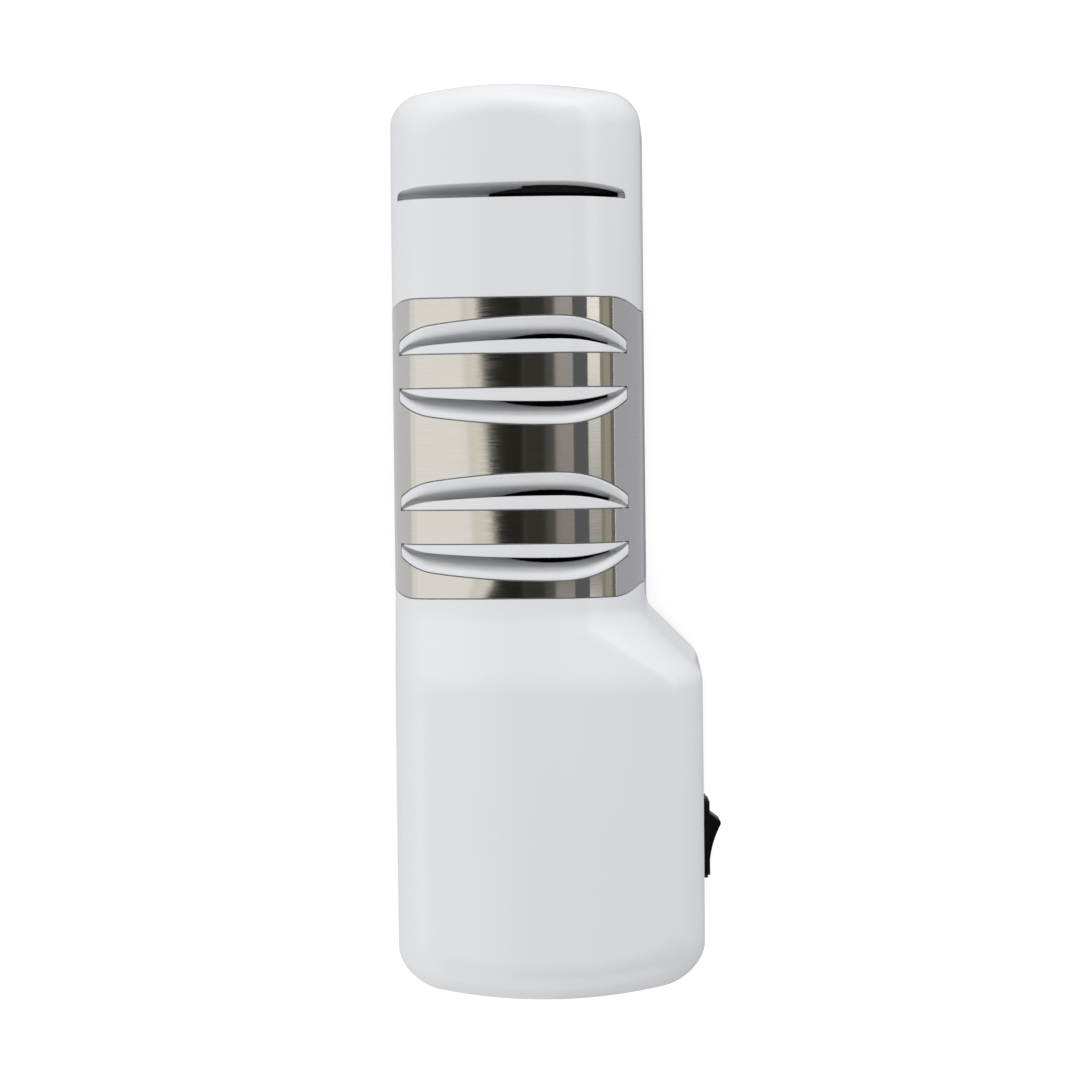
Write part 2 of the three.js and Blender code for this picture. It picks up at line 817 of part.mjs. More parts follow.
// Just short of where the surface has fallen to the slot floor, towards the front (-1) or the back (+1)
function slotEndPlace(direction) {
  let inside = 0;
  let outside = direction > 0 ? backFace : -narrowFace;
  for (let i = 0; i < halvings; i += 1) {
    const middle = (inside + outside) / 2;
    if (narrowDrop(middle) < slotDepth) {
      inside = middle;
    } else {
      outside = middle;
    }
  }
  return inside - direction * slotEndInset;
}

const stages = [coarseStageX, fineStageX];
const slotSides = [-1, 1];

const bossMiddleX = (coarseStageX + fineStageX) / 2;
const bossPlaces = [
  [farEndX - bossFarInset, bossBackY],
  [farEndX - bossFarInset, bossNarrowY],
  [bossMiddleX, bossBackY],
  [bossMiddleX, bossNarrowY],
  [motorEndX + bossMotorInset, bossBackY],
  [motorEndX + bossMotorInset, bossMotorY],
];
const footPlaces = [
  [farEndX - footFarInset, footBackY],
  [farEndX - footFarInset, footNarrowY],
  [motorEndX + footMotorInset, footBackY],
  [motorEndX + footMotorInset, footMotorY],
];

const screwTop = bossBottom - seatGap + screwLength;

function guideBlocks() {
  const bottom = shaftHeight + guideBlockClearance;
  const block = (from, to) => boxSolid(
    [from, -(motorFace + overrun), bottom],
    [to, backFace + overrun, crownHeight + overrun],
  );
  return union([
    ...stages.map((x) => block(x - guideBlockHalf, x + guideBlockHalf)),
    block(endSlotX - endBlockMotorReach, endSlotX + endBlockFarReach),
  ]);
}

function discPockets() {
  const window = rodAlongX(endWindowRadius, endPocketStart, endPocketEnd, 0, shaftHeight, boreSegments);
  const windowSide = boxSolid(
    [endPocketStart - overrun, -(motorFace + overrun), 0],
    [endPocketEnd + overrun, endWindowBackY, crownHeight],
  );
  return union([
    ...stages.map((x) => (
      rodAlongX(pocketRadius, x - pocketHalfWidth, x + pocketHalfWidth, 0, shaftHeight, boreSegments)
    )),
    rodAlongX(endPocketRadius, endPocketStart, endPocketEnd, 0, shaftHeight, boreSegments),
    window.intersect(windowSide),
  ]);
}

function switchOpening() {
  const x = [switchX - switchBodyLength / 2 - seatGap, switchX + switchBodyLength / 2 + seatGap];
  const z = [switchHeight - switchBodyHeight / 2 - seatGap, switchHeight + switchBodyHeight / 2 + seatGap];
  const hole = boxSolid([x[0], -(motorFace + overrun), z[0]], [x[1], bezelSeatY + wall + overrun, z[1]]);
  const seatLength = bezelLength / 2 + seatGap;
  const seatHeight = bezelHeight / 2 + seatGap;
  const seat = boxSolid(
    [switchX - seatLength, -(motorFace + overrun), switchHeight - seatHeight],
    [switchX + seatLength, bezelSeatY, switchHeight + seatHeight],
  );
  return hole.add(seat);
}

// Outer face of the back wall at a height
function backWallAt(z) {
  const startHeight = crownHeight - crownSag(backFace) - roundRiseShare * backRound;
  return backFace + (draftGrowth * (startHeight - z)) / (startHeight - housingBottom);
}

function rodAlongY(radius, from, to, x, z, sides = shaftSegments) {
  const rod = new THREE.CylinderGeometry(radius, radius, to - from, sides);
  return asSolid(rod.translate(x, (from + to) / 2, z));
}

function inletOpening() {
  const face = backWallAt(inletHeight);
  const bore = rodAlongY(
    inletSleeveRadius + seatGap,
    face - wall - overrun,
    face + overrun,
    inletX,
    inletHeight,
  );
  const recess = rodAlongY(
    inletFlangeRadius + seatGap,
    face - inletRecess,
    face + overrun,
    inletX,
    inletHeight,
  );
  return bore.add(recess);
}

function upperHousing() {
  const outer = bodyForm(0, housingBottom);
  const hollow = bodyForm(wall, housingBottom - overrun, innerSteps);
  const inside = union([
    guideBlocks(),
    ...bossPlaces.map(([x, y]) => rodAlongZ(bossRadius, bossBottom, crownHeight, x, y)),
  ]);
  let shell = outer.subtract(hollow).add(inside.intersect(bodyForm(wall / 2, housingBottom, innerSteps)));
  const windows = union(stages.flatMap((x) => slotSides.map((side) => bandWindow(x, side, 0))));
  const recessFloor = bodyForm(bandThickness + seatGap, housingBottom - overrun);
  shell = shell.subtract(bandSlab(seatGap).subtract(recessFloor).subtract(windows));
  for (const stageX of stages) {
    for (const side of slotSides) {
      shell = shell.subtract(slotCutter(stageX, side));
    }
  }
  const screwHoles = bossPlaces.map(([x, y]) => (
    rodAlongZ(screwRadius + seatGap, 0, screwTop + screwTipClearance, x, y)
  ));
  return shell
    .subtract(endSlotCutter())
    .subtract(discPockets())
    .subtract(switchOpening())
    .subtract(inletOpening())
    .subtract(union(screwHoles));
}

function steelBand() {
  const sheet = bodyForm(0, housingBottom).subtract(bodyForm(bandThickness, housingBottom - overrun));
  const windows = union(stages.flatMap((x) => slotSides.map((side) => bandWindow(x, side, seatGap))));
  return sheet.intersect(bandSlab(0)).subtract(windows);
}

// The outline as a flat shape, without the points that lie on its straight sides
function outlineShape(inset, steps) {
  const loop = outlineLoop(outlineSides(wallOutline(inset - draftGrowth), steps));
  const turns = loop.filter((point, i) => {
    const before = loop[(i + loop.length - 1) % loop.length].clone().sub(point).normalize();
    const after = loop[(i + 1) % loop.length].clone().sub(point).normalize();
    return Math.abs(before.cross(after)) > straightShare;
  });
  return new THREE.Shape(turns);
}

function basePlate() {
  const rimInset = wall + rimClearance;
  const wellTop = bossBottom - seatGap;
  let plate = prismAlongZ(outlineShape(baseInset, outerSteps), footHeight, floorTop);
  const rim = prismAlongZ(outlineShape(rimInset, innerSteps), footHeight, floorTop + baseRimHeight)
    .subtract(prismAlongZ(
      outlineShape(rimInset + baseRimThickness, innerSteps),
      0,
      floorTop + baseRimHeight + overrun,
    ));
  plate = plate.add(rim);
  for (const [x, y] of bossPlaces) {
    plate = plate.add(rodAlongZ(wellRadius, footHeight, wellTop, x, y));
  }
  for (const side of slotSides) {
    plate = plate.add(boxSolid(
      [motorMiddleX - postLength / 2, side * postOffset - postWidth / 2, footHeight],
      [motorMiddleX + postLength / 2, side * postOffset + postWidth / 2, stackBottom - seatGap],
    ));
  }
  for (const y of bracketScrewPlaces()) {
    plate = plate.add(rodAlongZ(padRadius, footHeight, padTop, bracketScrewX, y));
  }
  for (const [x, y] of bossPlaces) {
    plate = plate
      .subtract(rodAlongZ(wellHeadRadius, 0, footHeight + wellHeadDepth, x, y))
      .subtract(rodAlongZ(screwRadius + seatGap, 0, wellTop + overrun, x, y));
  }
  for (const [x, y] of footPlaces) {
    plate = plate.subtract(
      rodAlongZ(footRadius + seatGap, 0, footHeight + footRecess, x, y, shaftSegments),
    );
  }
  for (const y of bracketScrewPlaces()) {
    plate = plate.subtract(
      rodAlongZ(screwRadius + seatGap, footHeight + footRecess, padTop + overrun, bracketScrewX, y),
    );
  }
  const ventStart = motorMiddleX - ((motorVentCount - 1) * ventPitch) / 2;
  const vents = [
    ...Array.from({ length: motorVentCount }, (_, i) => ventStart + i * ventPitch),
    ...Array.from({ length: fanVentCount }, (_, i) => fanMotorX + i * ventPitch),
  ];
  for (const x of vents) {
    plate = plate.subtract(boxSolid(
      [x - ventWidth / 2, -ventHalfLength, 0],
      [x + ventWidth / 2, ventHalfLength, floorTop + overrun],
    ));
  }
  return plate;
}

function rubberFoot() {
  const top = footHeight + footRecess - seatGap;
  const profile = [
    new THREE.Vector2(0, 0),
    new THREE.Vector2(footTread, 0),
    new THREE.Vector2(footRadius, footChamfer),
    new THREE.Vector2(footRadius, top),
    new THREE.Vector2(0, top),
  ];
  return new THREE.LatheGeometry(profile, shaftSegments).rotateX(Math.PI / 2);
}

// A pan-head screw that points along +Z, with its head's underside at zero
function screwProfile(headRadius, headHeight, shankRadius, length) {
  return [
    new THREE.Vector2(0, -headHeight),
    new THREE.Vector2(headRadius * 0.7, -headHeight),
    new THREE.Vector2(headRadius, -headHeight / 2),
    new THREE.Vector2(headRadius, 0),
    new THREE.Vector2(shankRadius, 0),
    new THREE.Vector2(shankRadius, length - shankRadius),
    new THREE.Vector2(0, length),
  ];
}

function panScrew(headRadius, headHeight, shankRadius, length) {
  const profile = screwProfile(headRadius, headHeight, shankRadius, length);
  return new THREE.LatheGeometry(profile, holeSegments).rotateX(Math.PI / 2);
}

// Motor
function statorStack() {
  const legTop = stackBottom + coilLegHeight;
  const windowHole = new THREE.Path([
    new THREE.Vector2(-coilWindowHalfWidth, legTop),
    new THREE.Vector2(-coilWindowHalfWidth, legTop + coilWindowHeight),
    new THREE.Vector2(coilWindowHalfWidth, legTop + coilWindowHeight),
    new THREE.Vector2(coilWindowHalfWidth, legTop),
  ]);
  const outline = shapeOf(
    [
      [-stackHalfWidth, stackBottom],
      [stackHalfWidth, stackBottom],
      [stackHalfWidth, stackTop - stackCornerCut],
      [stackHalfWidth - stackCornerCut, stackTop],
      [stackCornerCut - stackHalfWidth, stackTop],
      [-stackHalfWidth, stackTop - stackCornerCut],
    ],
    [
      windowHole,
      circleHole(0, shaftHeight, rotorRadius + airGap),
      circleHole(motorScrewOffset, shaftHeight, motorScrewRadius + seatGap),
      circleHole(-motorScrewOffset, shaftHeight, motorScrewRadius + seatGap),
    ],
  );
  return prismAlongX(outline, stackMotorX, stackFarX);
}

// A rectangular frame round the coil leg, grown from it by two amounts
function legFrame(innerGrowth, outerGrowth, halfLength) {
  const legMiddle = stackBottom + coilLegHeight / 2;
  const half = (growth) => [stackThickness / 2 + growth, coilLegHeight / 2 + growth];
  const block = (growth, length) => boxSolid(
    [motorMiddleX - half(growth)[0], -length, legMiddle - half(growth)[1]],
    [motorMiddleX + half(growth)[0], length, legMiddle + half(growth)[1]],
  );
  return block(outerGrowth, halfLength).subtract(block(innerGrowth, halfLength + overrun));
}

const bobbinHalfLength = coilWindowHalfWidth - seatGap * 2;

function coilBobbin() {
  const flangeInner = bobbinHalfLength - bobbinFlangeThickness;
  const flanges = legFrame(seatGap, windingOuter + flangeMargin, bobbinHalfLength)
    .subtract(legFrame(bobbinTube, windingOuter + flangeMargin + overrun, flangeInner));
  return flanges;
}

function coilWinding() {
  const halfLength = bobbinHalfLength - bobbinFlangeThickness - seatGap;
  return legFrame(windingInner, windingOuter, halfLength);
}

// A hat-shaped strap that carries one motor bearing; side is +1 at the shaft's far side
function bearingBracket(side) {
  const face = side > 0 ? stackFarX : stackMotorX;
  const at = (distance) => face + side * distance;
  const thick = bearingPlateThickness;
  const foot = seatGap;
  const top = bearingStandoff;
  const half = [
    [at(foot), stackHalfWidth],
    [at(foot), bearingArmOffset],
    [at(top), bearingArmOffset],
    [at(top), -bearingArmOffset],
    [at(foot), -bearingArmOffset],
    [at(foot), -stackHalfWidth],
    [at(foot + thick), -stackHalfWidth],
    [at(foot + thick), -bearingArmOffset - thick],
    [at(top + thick), -bearingArmOffset - thick],
    [at(top + thick), bearingArmOffset + thick],
    [at(foot + thick), bearingArmOffset + thick],
    [at(foot + thick), stackHalfWidth],
  ];
  const lowZ = shaftHeight - bearingPlateWidth / 2;
  let strap = prismAlongZ(shapeOf(half), lowZ, lowZ + bearingPlateWidth);
  const reach = [at(-overrun), at(top + overrun)].sort((a, b) => a - b);
  strap = strap.subtract(rodAlongX(bushRadius + seatGap, reach[0], reach[1]));
  for (const screwSide of slotSides) {
    strap = strap.subtract(
      rodAlongX(motorScrewRadius + seatGap, reach[0], reach[1], screwSide * motorScrewOffset),
    );
  }
  return strap;
}

function motorBearing(side) {
  const face = side > 0 ? stackFarX : stackMotorX;
  const middle = face + side * (bearingStandoff + bearingPlateThickness / 2);
  return sleeve(middle - bearingLength / 2, middle + bearingLength / 2);
}

function sleeve(from, to) {
  return turnedOnShaft([
    [shaftRadius + runningGap, from],
    [bushRadius, from],
    [bushRadius, to],
    [shaftRadius + runningGap, to],
  ]);
}

function rotorCore() {
  const bore = shaftRadius + seatGap;
  return turnedOnShaft([
    [bore, stackMotorX - endRingLength],
    [endRingRadius, stackMotorX - endRingLength],
    [endRingRadius, stackMotorX],
    [rotorRadius, stackMotorX],
    [rotorRadius, stackFarX],
    [endRingRadius, stackFarX],
    [endRingRadius, stackFarX + endRingLength],
    [bore, stackFarX + endRingLength],
  ], boreSegments);
}

function coolingFan() {
  let fan = rodAlongX(fanHubRadius, fanMotorX, fanFarX);
  fan = fan.add(rodAlongX(fanRadius, fanFarX - fanDiscThickness, fanFarX, 0, shaftHeight, boreSegments));
  for (let i = 0; i < fanBladeCount; i += 1) {
    const blade = new THREE.BoxGeometry(fanLength, fanRadius - fanBladeRoot, fanBladeThickness)
      .translate(fanMotorX + fanLength / 2, (fanRadius + fanBladeRoot) / 2, 0)
      .rotateX((2 * Math.PI * i) / fanBladeCount)
      .translate(0, 0, shaftHeight);
    fan = fan.add(asSolid(blade));
  }
  const rim = rodAlongX(fanRadius, fanMotorX, fanFarX, 0, shaftHeight, boreSegments);
  const bore = rodAlongX(shaftRadius + seatGap, fanMotorX - overrun, fanFarX + overrun);
  return fan.intersect(rim).subtract(bore);
}

// Grinding stages
function stageHub(stageX) {
  const flangeStart = discFaceOffset + seatGap;
  const end = flangeStart + hubFlangeThickness;
  return turnedOnShaft([
    [shaftRadius + seatGap, stageX - end],
    [hubRadius, stageX - end],
    [hubRadius, stageX + flangeStart],
    [hubFlangeRadius, stageX + flangeStart],
    [hubFlangeRadius, stageX + end],
    [shaftRadius + seatGap, stageX + end],
  ]);
}

function stageClip(stageX) {
  const face = stageX - discFaceOffset - seatGap;
  return turnedOnShaft([
    [hubRadius + seatGap, face - clipThickness],
    [hubFlangeRadius, face - clipThickness],
    [hubFlangeRadius, face],
    [hubRadius + seatGap, face],
  ]);
}

// A cupped abrasive disc: its flat face meets the blade, its cup holds the spring
function grindingDisc(stageX, side) {
  const at = (offset) => stageX + side * offset;
  const bore = hubRadius + runningGap;
  const rimBack = discFaceOffset - discRimThickness;
  const webBack = discFaceOffset - discWebThickness;
  return turnedOnShaft([
    [bore, at(discFaceOffset)],
    [discRadius - discEdgeChamfer, at(discFaceOffset)],
    [discRadius, at(discFaceOffset - discEdgeChamfer)],
    [discRadius, at(rimBack)],
    [discWebRadius, at(rimBack)],
    [discWebRadius, at(webBack)],
    [bore, at(webBack)],
  ], boreSegments);
}

class Helix extends THREE.Curve {
  constructor(radius, length, turns) {
    super();
    this.radius = radius;
    this.length = length;
    this.turns = turns;
  }

  getPoint(t, target = new THREE.Vector3()) {
    const angle = 2 * Math.PI * this.turns * t;
    const along = this.length * (t - 1 / 2);
    return target.set(along, this.radius * Math.cos(angle), this.radius * Math.sin(angle));
  }
}

function wireSection(radius, sides) {
  return new THREE.Shape(Array.from({ length: sides }, (_, i) => {
    const angle = (2 * Math.PI * i) / sides;
    return new THREE.Vector2(radius * Math.cos(angle), radius * Math.sin(angle));
  }));
}

function stageSpring(stageX) {
  const room = 2 * (discFaceOffset - discWebThickness - seatGap - springWireRadius);
  const wire = new THREE.ExtrudeGeometry(wireSection(springWireRadius, springWireSegments), {
    steps: springTurnCount * springStepsPerTurn,
    extrudePath: new Helix(springCoilRadius, room, springTurnCount),
    bevelEnabled: false,
  });
  return asSolid(wire.translate(stageX, 0, shaftHeight));
}

function honingDisc() {
  const bore = shaftRadius + seatGap;
  const farX = honingFaceX + honingThickness;
  return turnedOnShaft([
    [bore, bracketX + bracketBossLength / 2 + seatGap],
    [honingHubRadius, bracketX + bracketBossLength / 2 + seatGap],
    [honingHubRadius, honingFaceX + honingWebSet],
    [honingWebRadius, honingFaceX + honingWebSet],
    [honingWebRadius + honingWebSet, honingFaceX],
    [honingRadius, honingFaceX],
    [honingRadius, farX],
    [honingWebRadius + honingWebSet, farX],
    [honingWebRadius, farX - honingWebSet],
    [honingHubRadius, farX - honingWebSet],
    [honingHubRadius, honingHubEndX],
    [bore, honingHubEndX],
  ], boreSegments);
}

function hexNut(radius, from, to, bore, y = 0) {
  const body = new THREE.CylinderGeometry(radius, radius, to - from, hexSegments)
    .rotateZ(Math.PI / 2)
    .translate((from + to) / 2, y, shaftHeight);
  return asSolid(body).subtract(rodAlongX(bore, from - overrun, to + overrun, y));
}

// Far shaft bracket: an upright plate with a boss for the bush and a foot on two pads
const padRadius = 4.5;
const padHeight = 2;
const padTop = floorTop + padHeight;
const bracketScrewX = bracketX + bracketThickness / 2 + bracketScrewInset;

function bracketScrewPlaces() {
  return slotSides.map((side) => (side * bracketScrewSpacing) / 2);
}

function shaftBracket() {
  const footBottom = padTop + seatGap;
  const plateFace = bracketX + bracketThickness / 2;
  const outline = shapeOf([
    [-bracketHalfWidth, footBottom],
    [bracketHalfWidth, footBottom],
    [bracketHalfWidth, footBottom + bracketFootThickness],
    [bracketBossRadius, shaftHeight],
    [-bracketBossRadius, shaftHeight],
    [-bracketHalfWidth, footBottom + bracketFootThickness],
  ]);
  let bracket = prismAlongX(outline, bracketX - bracketThickness / 2, plateFace);
  bracket = bracket.add(boxSolid(
    [plateFace - bracketThickness / 2, -bracketHalfWidth, footBottom],
    [plateFace + bracketFootLength, bracketHalfWidth, footBottom + bracketFootThickness],
  ));
  const bossEnds = [bracketX - bracketBossLength / 2, bracketX + bracketBossLength / 2];
  bracket = bracket.add(
    rodAlongX(bracketBossRadius, bossEnds[0], bossEnds[1], 0, shaftHeight, boreSegments),
  );
  bracket = bracket.subtract(
    rodAlongX(bushRadius + seatGap, bossEnds[0] - overrun, bossEnds[1] + overrun),
  );
  for (const y of bracketScrewPlaces()) {
    bracket = bracket.subtract(rodAlongZ(screwRadius + seatGap, 0, shaftHeight / 2, bracketScrewX, y));
  }
  return bracket;
}

// Switch
function frameRing(length, height, innerLength, innerHeight, from, to, chamfer = 0) {
  const corner = (l, h) => [
    [-l / 2 + chamfer, -h / 2],
    [l / 2 - chamfer, -h / 2],
    [l / 2, -h / 2 + chamfer],
    [l / 2, h / 2 - chamfer],
    [l / 2 - chamfer, h / 2],
    [-l / 2 + chamfer, h / 2],
    [-l / 2, h / 2 - chamfer],
    [-l / 2, -h / 2 + chamfer],
  ].map(([u, v]) => [switchX + u, switchHeight + v]);
  const outer = prismAlongY(shapeOf(corner(length, height)), from, to);
  return outer.subtract(boxSolid(
    [switchX - innerLength / 2, from - overrun, switchHeight - innerHeight / 2],
    [switchX + innerLength / 2, to + overrun, switchHeight + innerHeight / 2],
  ));
}

const bezelBackY = bezelSeatY - seatGap;
const bezelFaceY = bezelBackY - bezelProud;
const rockerPivotY = bezelFaceY + rockerPivotDepth;
const switchBackY = bezelBackY + switchBodyDepth;

function switchHousing() {
  const bevel = bezelChamfer / 2;
  const bezel = frameRing(
    bezelLength, bezelHeight, switchCavityLength, switchCavityHeight, bezelFaceY + bevel, bezelBackY, bevel,
  );
  const face = frameRing(
    bezelLength - 2 * bevel, bezelHeight - 2 * bevel, switchCavityLength, switchCavityHeight,
    bezelFaceY, bezelBackY, bevel,
  );
  const body = boxSolid(
    [switchX - switchBodyLength / 2, bezelFaceY + bevel, switchHeight - switchBodyHeight / 2],
    [switchX + switchBodyLength / 2, switchBackY, switchHeight + switchBodyHeight / 2],
  );
  const cavity = boxSolid(
    [switchX - switchCavityLength / 2, bezelFaceY - overrun, switchHeight - switchCavityHeight / 2],
    [
      switchX + switchCavityLength / 2,
      bezelFaceY + switchCavityDepth,
      switchHeight + switchCavityHeight / 2,
    ],
  );
  const pinHoles = rodAlongZ(
    rockerPinRadius + seatGap,
    switchHeight - bezelHeight,
    switchHeight + bezelHeight,
    switchX,
    rockerPivotY,
  );
  return bezel.add(face).add(body).subtract(cavity).subtract(pinHoles);
}

// Outline of the rocker round its pin: a dished face between two rounded tips
function rockerOutline() {
  const dish = Array.from({ length: rockerDishSteps + 1 }, (_, i) => {
    const share = (2 * i) / rockerDishSteps - 1;
    return new THREE.Vector2(share * rockerTipReach, rockerDish * (1 - share ** 2) - rockerTipRise);
  });
  const side = [
    new THREE.Vector2(rockerShoulderReach, -rockerShoulderRise),
    new THREE.Vector2(rockerWaistReach, -rockerWaistRise),
    new THREE.Vector2(rockerFootReach, rockerFootDrop),
  ];
  const otherSide = side.map((point) => new THREE.Vector2(-point.x, point.y)).reverse();
  const last = rockerDishSteps;
  return [
    ...roundedCorner(otherSide[side.length - 1], dish[0], dish[1], rockerTipRound, rockerTipSteps),
    ...dish.slice(1, last),
    ...roundedCorner(dish[last - 1], dish[last], side[0], rockerTipRound, rockerTipSteps),
    ...side,
    ...otherSide,
  ];
}

function switchRocker() {
  const outline = rockerOutline().map((point) => point.toArray());
  const body = prismAlongZ(shapeOf(outline), -rockerHalfHeight, rockerHalfHeight);
  const pin = rodAlongZ(rockerPinRadius, -rockerPinReach, rockerPinReach, 0, 0);
  return body.add(pin);
}

function switchTerminal(side) {
  const x = switchX + (side * terminalSpacing) / 2;
  return new THREE.BoxGeometry(terminalThickness, terminalLength, terminalWidth)
    .translate(x, switchBackY + seatGap + terminalLength / 2, switchHeight);
}

function inletBush() {
  const face = backWallAt(inletHeight) - inletRecess + seatGap;
  const back = face + seatGap - wall - inletFlangeThickness;
  const profile = [
    [inletBoreRadius, back],
    [inletSleeveRadius, back],
    [inletSleeveRadius, face],
    [inletFlangeRadius, face],
    [inletFlangeRadius, face + inletFlangeThickness],
    [inletBoreRadius, face + inletFlangeThickness],
  ];
  return asSolid(turned(profile, shaftSegments).translate(inletX, 0, inletHeight));
}

// Assembly
const sharpener = new THREE.Group();
const assembly = new THREE.Group();
sharpener.add(assembly);

function place(name, form, material, parent = assembly) {
  const geometry = form instanceof THREE.BufferGeometry ? form : asGeometry(form);
  const mesh = new THREE.Mesh(geometry, material);
  mesh.name = name;
  parent.add(mesh);
  return mesh;
}

place('upper_housing', upperHousing(), whitePlastic);
place('steel_band', steelBand(), brushedSteel);
place('base_plate', basePlate(), greyPlastic);

footPlaces.forEach(([x, y], i) => {
  place(`foot_${i + 1}`, rubberFoot(), rubber).position.set(x, y, 0);
});
const screwSeat = footHeight + wellHeadDepth - seatGap;
bossPlaces.forEach(([x, y], i) => {
  const screw = panScrew(screwHeadRadius, screwHeadHeight, screwRadius, screwTop - screwSeat);
  place(`housing_screw_${i + 1}`, screw, zincSteel).position.set(x, y, screwSeat);
});
place('inlet_bush', inletBush(), blackPlastic);

place('stator_stack', statorStack(), laminatedSteel);
place('coil_bobbin', coilBobbin(), nylon);
place('coil_winding', coilWinding(), copper);
place('front_bearing_bracket', bearingBracket(1), zincSteel);
place('rear_bearing_bracket', bearingBracket(-1), zincSteel);
place('front_bearing', motorBearing(1), bronze);
place('rear_bearing', motorBearing(-1), bronze);
slotSides.forEach((side, i) => {
  const y = side * motorScrewOffset;
  const headFace = stackFarX + seatGap + bearingPlateThickness + seatGap;
  const nutEnd = stackMotorX - seatGap - bearingPlateThickness - seatGap;
  const length = headFace - nutEnd + motorNutLength + motorScrewTail;
  const screw = panScrew(motorScrewHeadRadius, motorScrewHeadHeight, motorScrewRadius, length);
  const mesh = place(`motor_screw_${i + 1}`, screw, zincSteel);
  mesh.rotation.y = -Math.PI / 2;
  mesh.position.set(headFace, y, shaftHeight);
  const nut = hexNut(motorNutRadius, nutEnd - motorNutLength, nutEnd, motorScrewRadius + seatGap, y);
  place(`motor_nut_${i + 1}`, nut, zincSteel);
});
place('rotor_core', rotorCore(), laminatedSteel);
place('drive_shaft', rodAlongX(shaftRadius, shaftMotorEndX, shaftFarEndX), zincSteel);
place('cooling_fan', coolingFan(), nylon);

const stageNames = ['coarse', 'fine'];
stages.forEach((stageX, i) => {
  const name = stageNames[i];
  place(`${name}_hub`, stageHub(stageX), zincSteel);
  place(`${name}_disc_motor_side`, grindingDisc(stageX, -1), abrasive);
  place(`${name}_disc_far_side`, grindingDisc(stageX, 1), abrasive);
  place(`${name}_spring`, stageSpring(stageX), springSteel);
  place(`${name}_clip`, stageClip(stageX), springSteel);
});
place('honing_disc', honingDisc(), abrasive);
place('honing_nut', hexNut(nutRadius, nutFace, nutFace + nutLength, shaftRadius + seatGap), zincSteel);

place('shaft_bracket', shaftBracket(), zincSteel);
place('shaft_bush', sleeve(bracketX - bracketBossLength / 2, bracketX + bracketBossLength / 2), bronze);
const bracketScrewSeat = padTop + seatGap + bracketFootThickness + seatGap;
bracketScrewPlaces().forEach((y, i) => {
  const length = bracketScrewSeat - footHeight - footRecess - seatGap;
  const screw = panScrew(screwHeadRadius, screwHeadHeight, screwRadius, length);
  const mesh = place(`bracket_screw_${i + 1}`, screw, zincSteel);
  mesh.rotation.x = Math.PI;
  mesh.position.set(bracketScrewX, y, bracketScrewSeat);
});

place('switch_housing', switchHousing(), blackPlastic);
const rocker = place('switch_rocker', switchRocker(), blackPlastic);
rocker.rotation.z = -rockerTilt;
rocker.position.set(switchX, rockerPivotY, switchHeight);
slotSides.forEach((side, i) => {
  place(`switch_terminal_${i + 1}`, switchTerminal(side), bronze);
});

// The origin is the middle of the floor area that the whole sharpener covers
const pivot = new THREE.Vector2();
const rockerReach = rockerOutline().map((point) => point.clone().rotateAround(pivot, -rockerTilt).y);
const frontReach = rockerPivotY + Math.min(...rockerReach);
const backReach = backFace + draftGrowth;
assembly.position.set(-(farEndX + motorEndX) / 2, -(frontReach + backReach) / 2, 0);

export default sharpener;
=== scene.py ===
import json
import math
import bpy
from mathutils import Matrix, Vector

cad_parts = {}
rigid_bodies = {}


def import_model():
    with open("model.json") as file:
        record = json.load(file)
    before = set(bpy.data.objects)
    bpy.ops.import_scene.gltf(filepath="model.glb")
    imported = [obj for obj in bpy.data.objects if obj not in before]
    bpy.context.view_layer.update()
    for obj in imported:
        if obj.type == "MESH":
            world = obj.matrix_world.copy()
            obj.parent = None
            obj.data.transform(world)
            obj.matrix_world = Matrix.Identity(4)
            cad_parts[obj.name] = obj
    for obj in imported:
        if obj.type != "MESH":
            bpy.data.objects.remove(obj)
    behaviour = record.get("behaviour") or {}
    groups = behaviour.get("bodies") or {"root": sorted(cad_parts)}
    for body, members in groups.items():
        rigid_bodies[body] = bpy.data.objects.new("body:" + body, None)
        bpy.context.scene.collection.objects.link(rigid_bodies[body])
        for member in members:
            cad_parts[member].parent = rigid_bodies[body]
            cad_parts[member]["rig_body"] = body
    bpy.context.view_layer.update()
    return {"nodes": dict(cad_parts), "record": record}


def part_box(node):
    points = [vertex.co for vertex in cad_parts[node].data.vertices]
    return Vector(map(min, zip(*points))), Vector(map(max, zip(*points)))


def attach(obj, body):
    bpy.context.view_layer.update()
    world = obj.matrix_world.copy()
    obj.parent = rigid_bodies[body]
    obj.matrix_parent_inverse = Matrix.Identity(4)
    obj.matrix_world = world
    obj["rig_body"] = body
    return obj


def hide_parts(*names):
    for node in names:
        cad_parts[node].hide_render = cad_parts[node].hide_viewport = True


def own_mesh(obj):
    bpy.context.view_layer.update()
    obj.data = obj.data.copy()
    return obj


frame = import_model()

from types import SimpleNamespace

import bpy
from mathutils import Matrix, Vector
from mathutils.bvhtree import BVHTree
from mathutils.interpolate import poly_3d_calc

# The looks of an electric knife sharpener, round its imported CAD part.
# Metres, +Z up. +X runs from the motor end to the far end, and -Y faces the user.


def new_object(name, data):
    thing = bpy.data.objects.new(name, data)
    bpy.context.scene.collection.objects.link(thing)
    return thing


# Camera

MILLIMETRES = 1000
SENSOR_WIDTH = 0.036
FOCAL_LENGTH = 0.1086
CAMERA_PLACE = Vector((0.0252, 0.0022, 0.876))
CAMERA_TARGET = Vector((-0.0017, 0.0037, 0))
CAMERA_ROLL = math.radians(0.63)


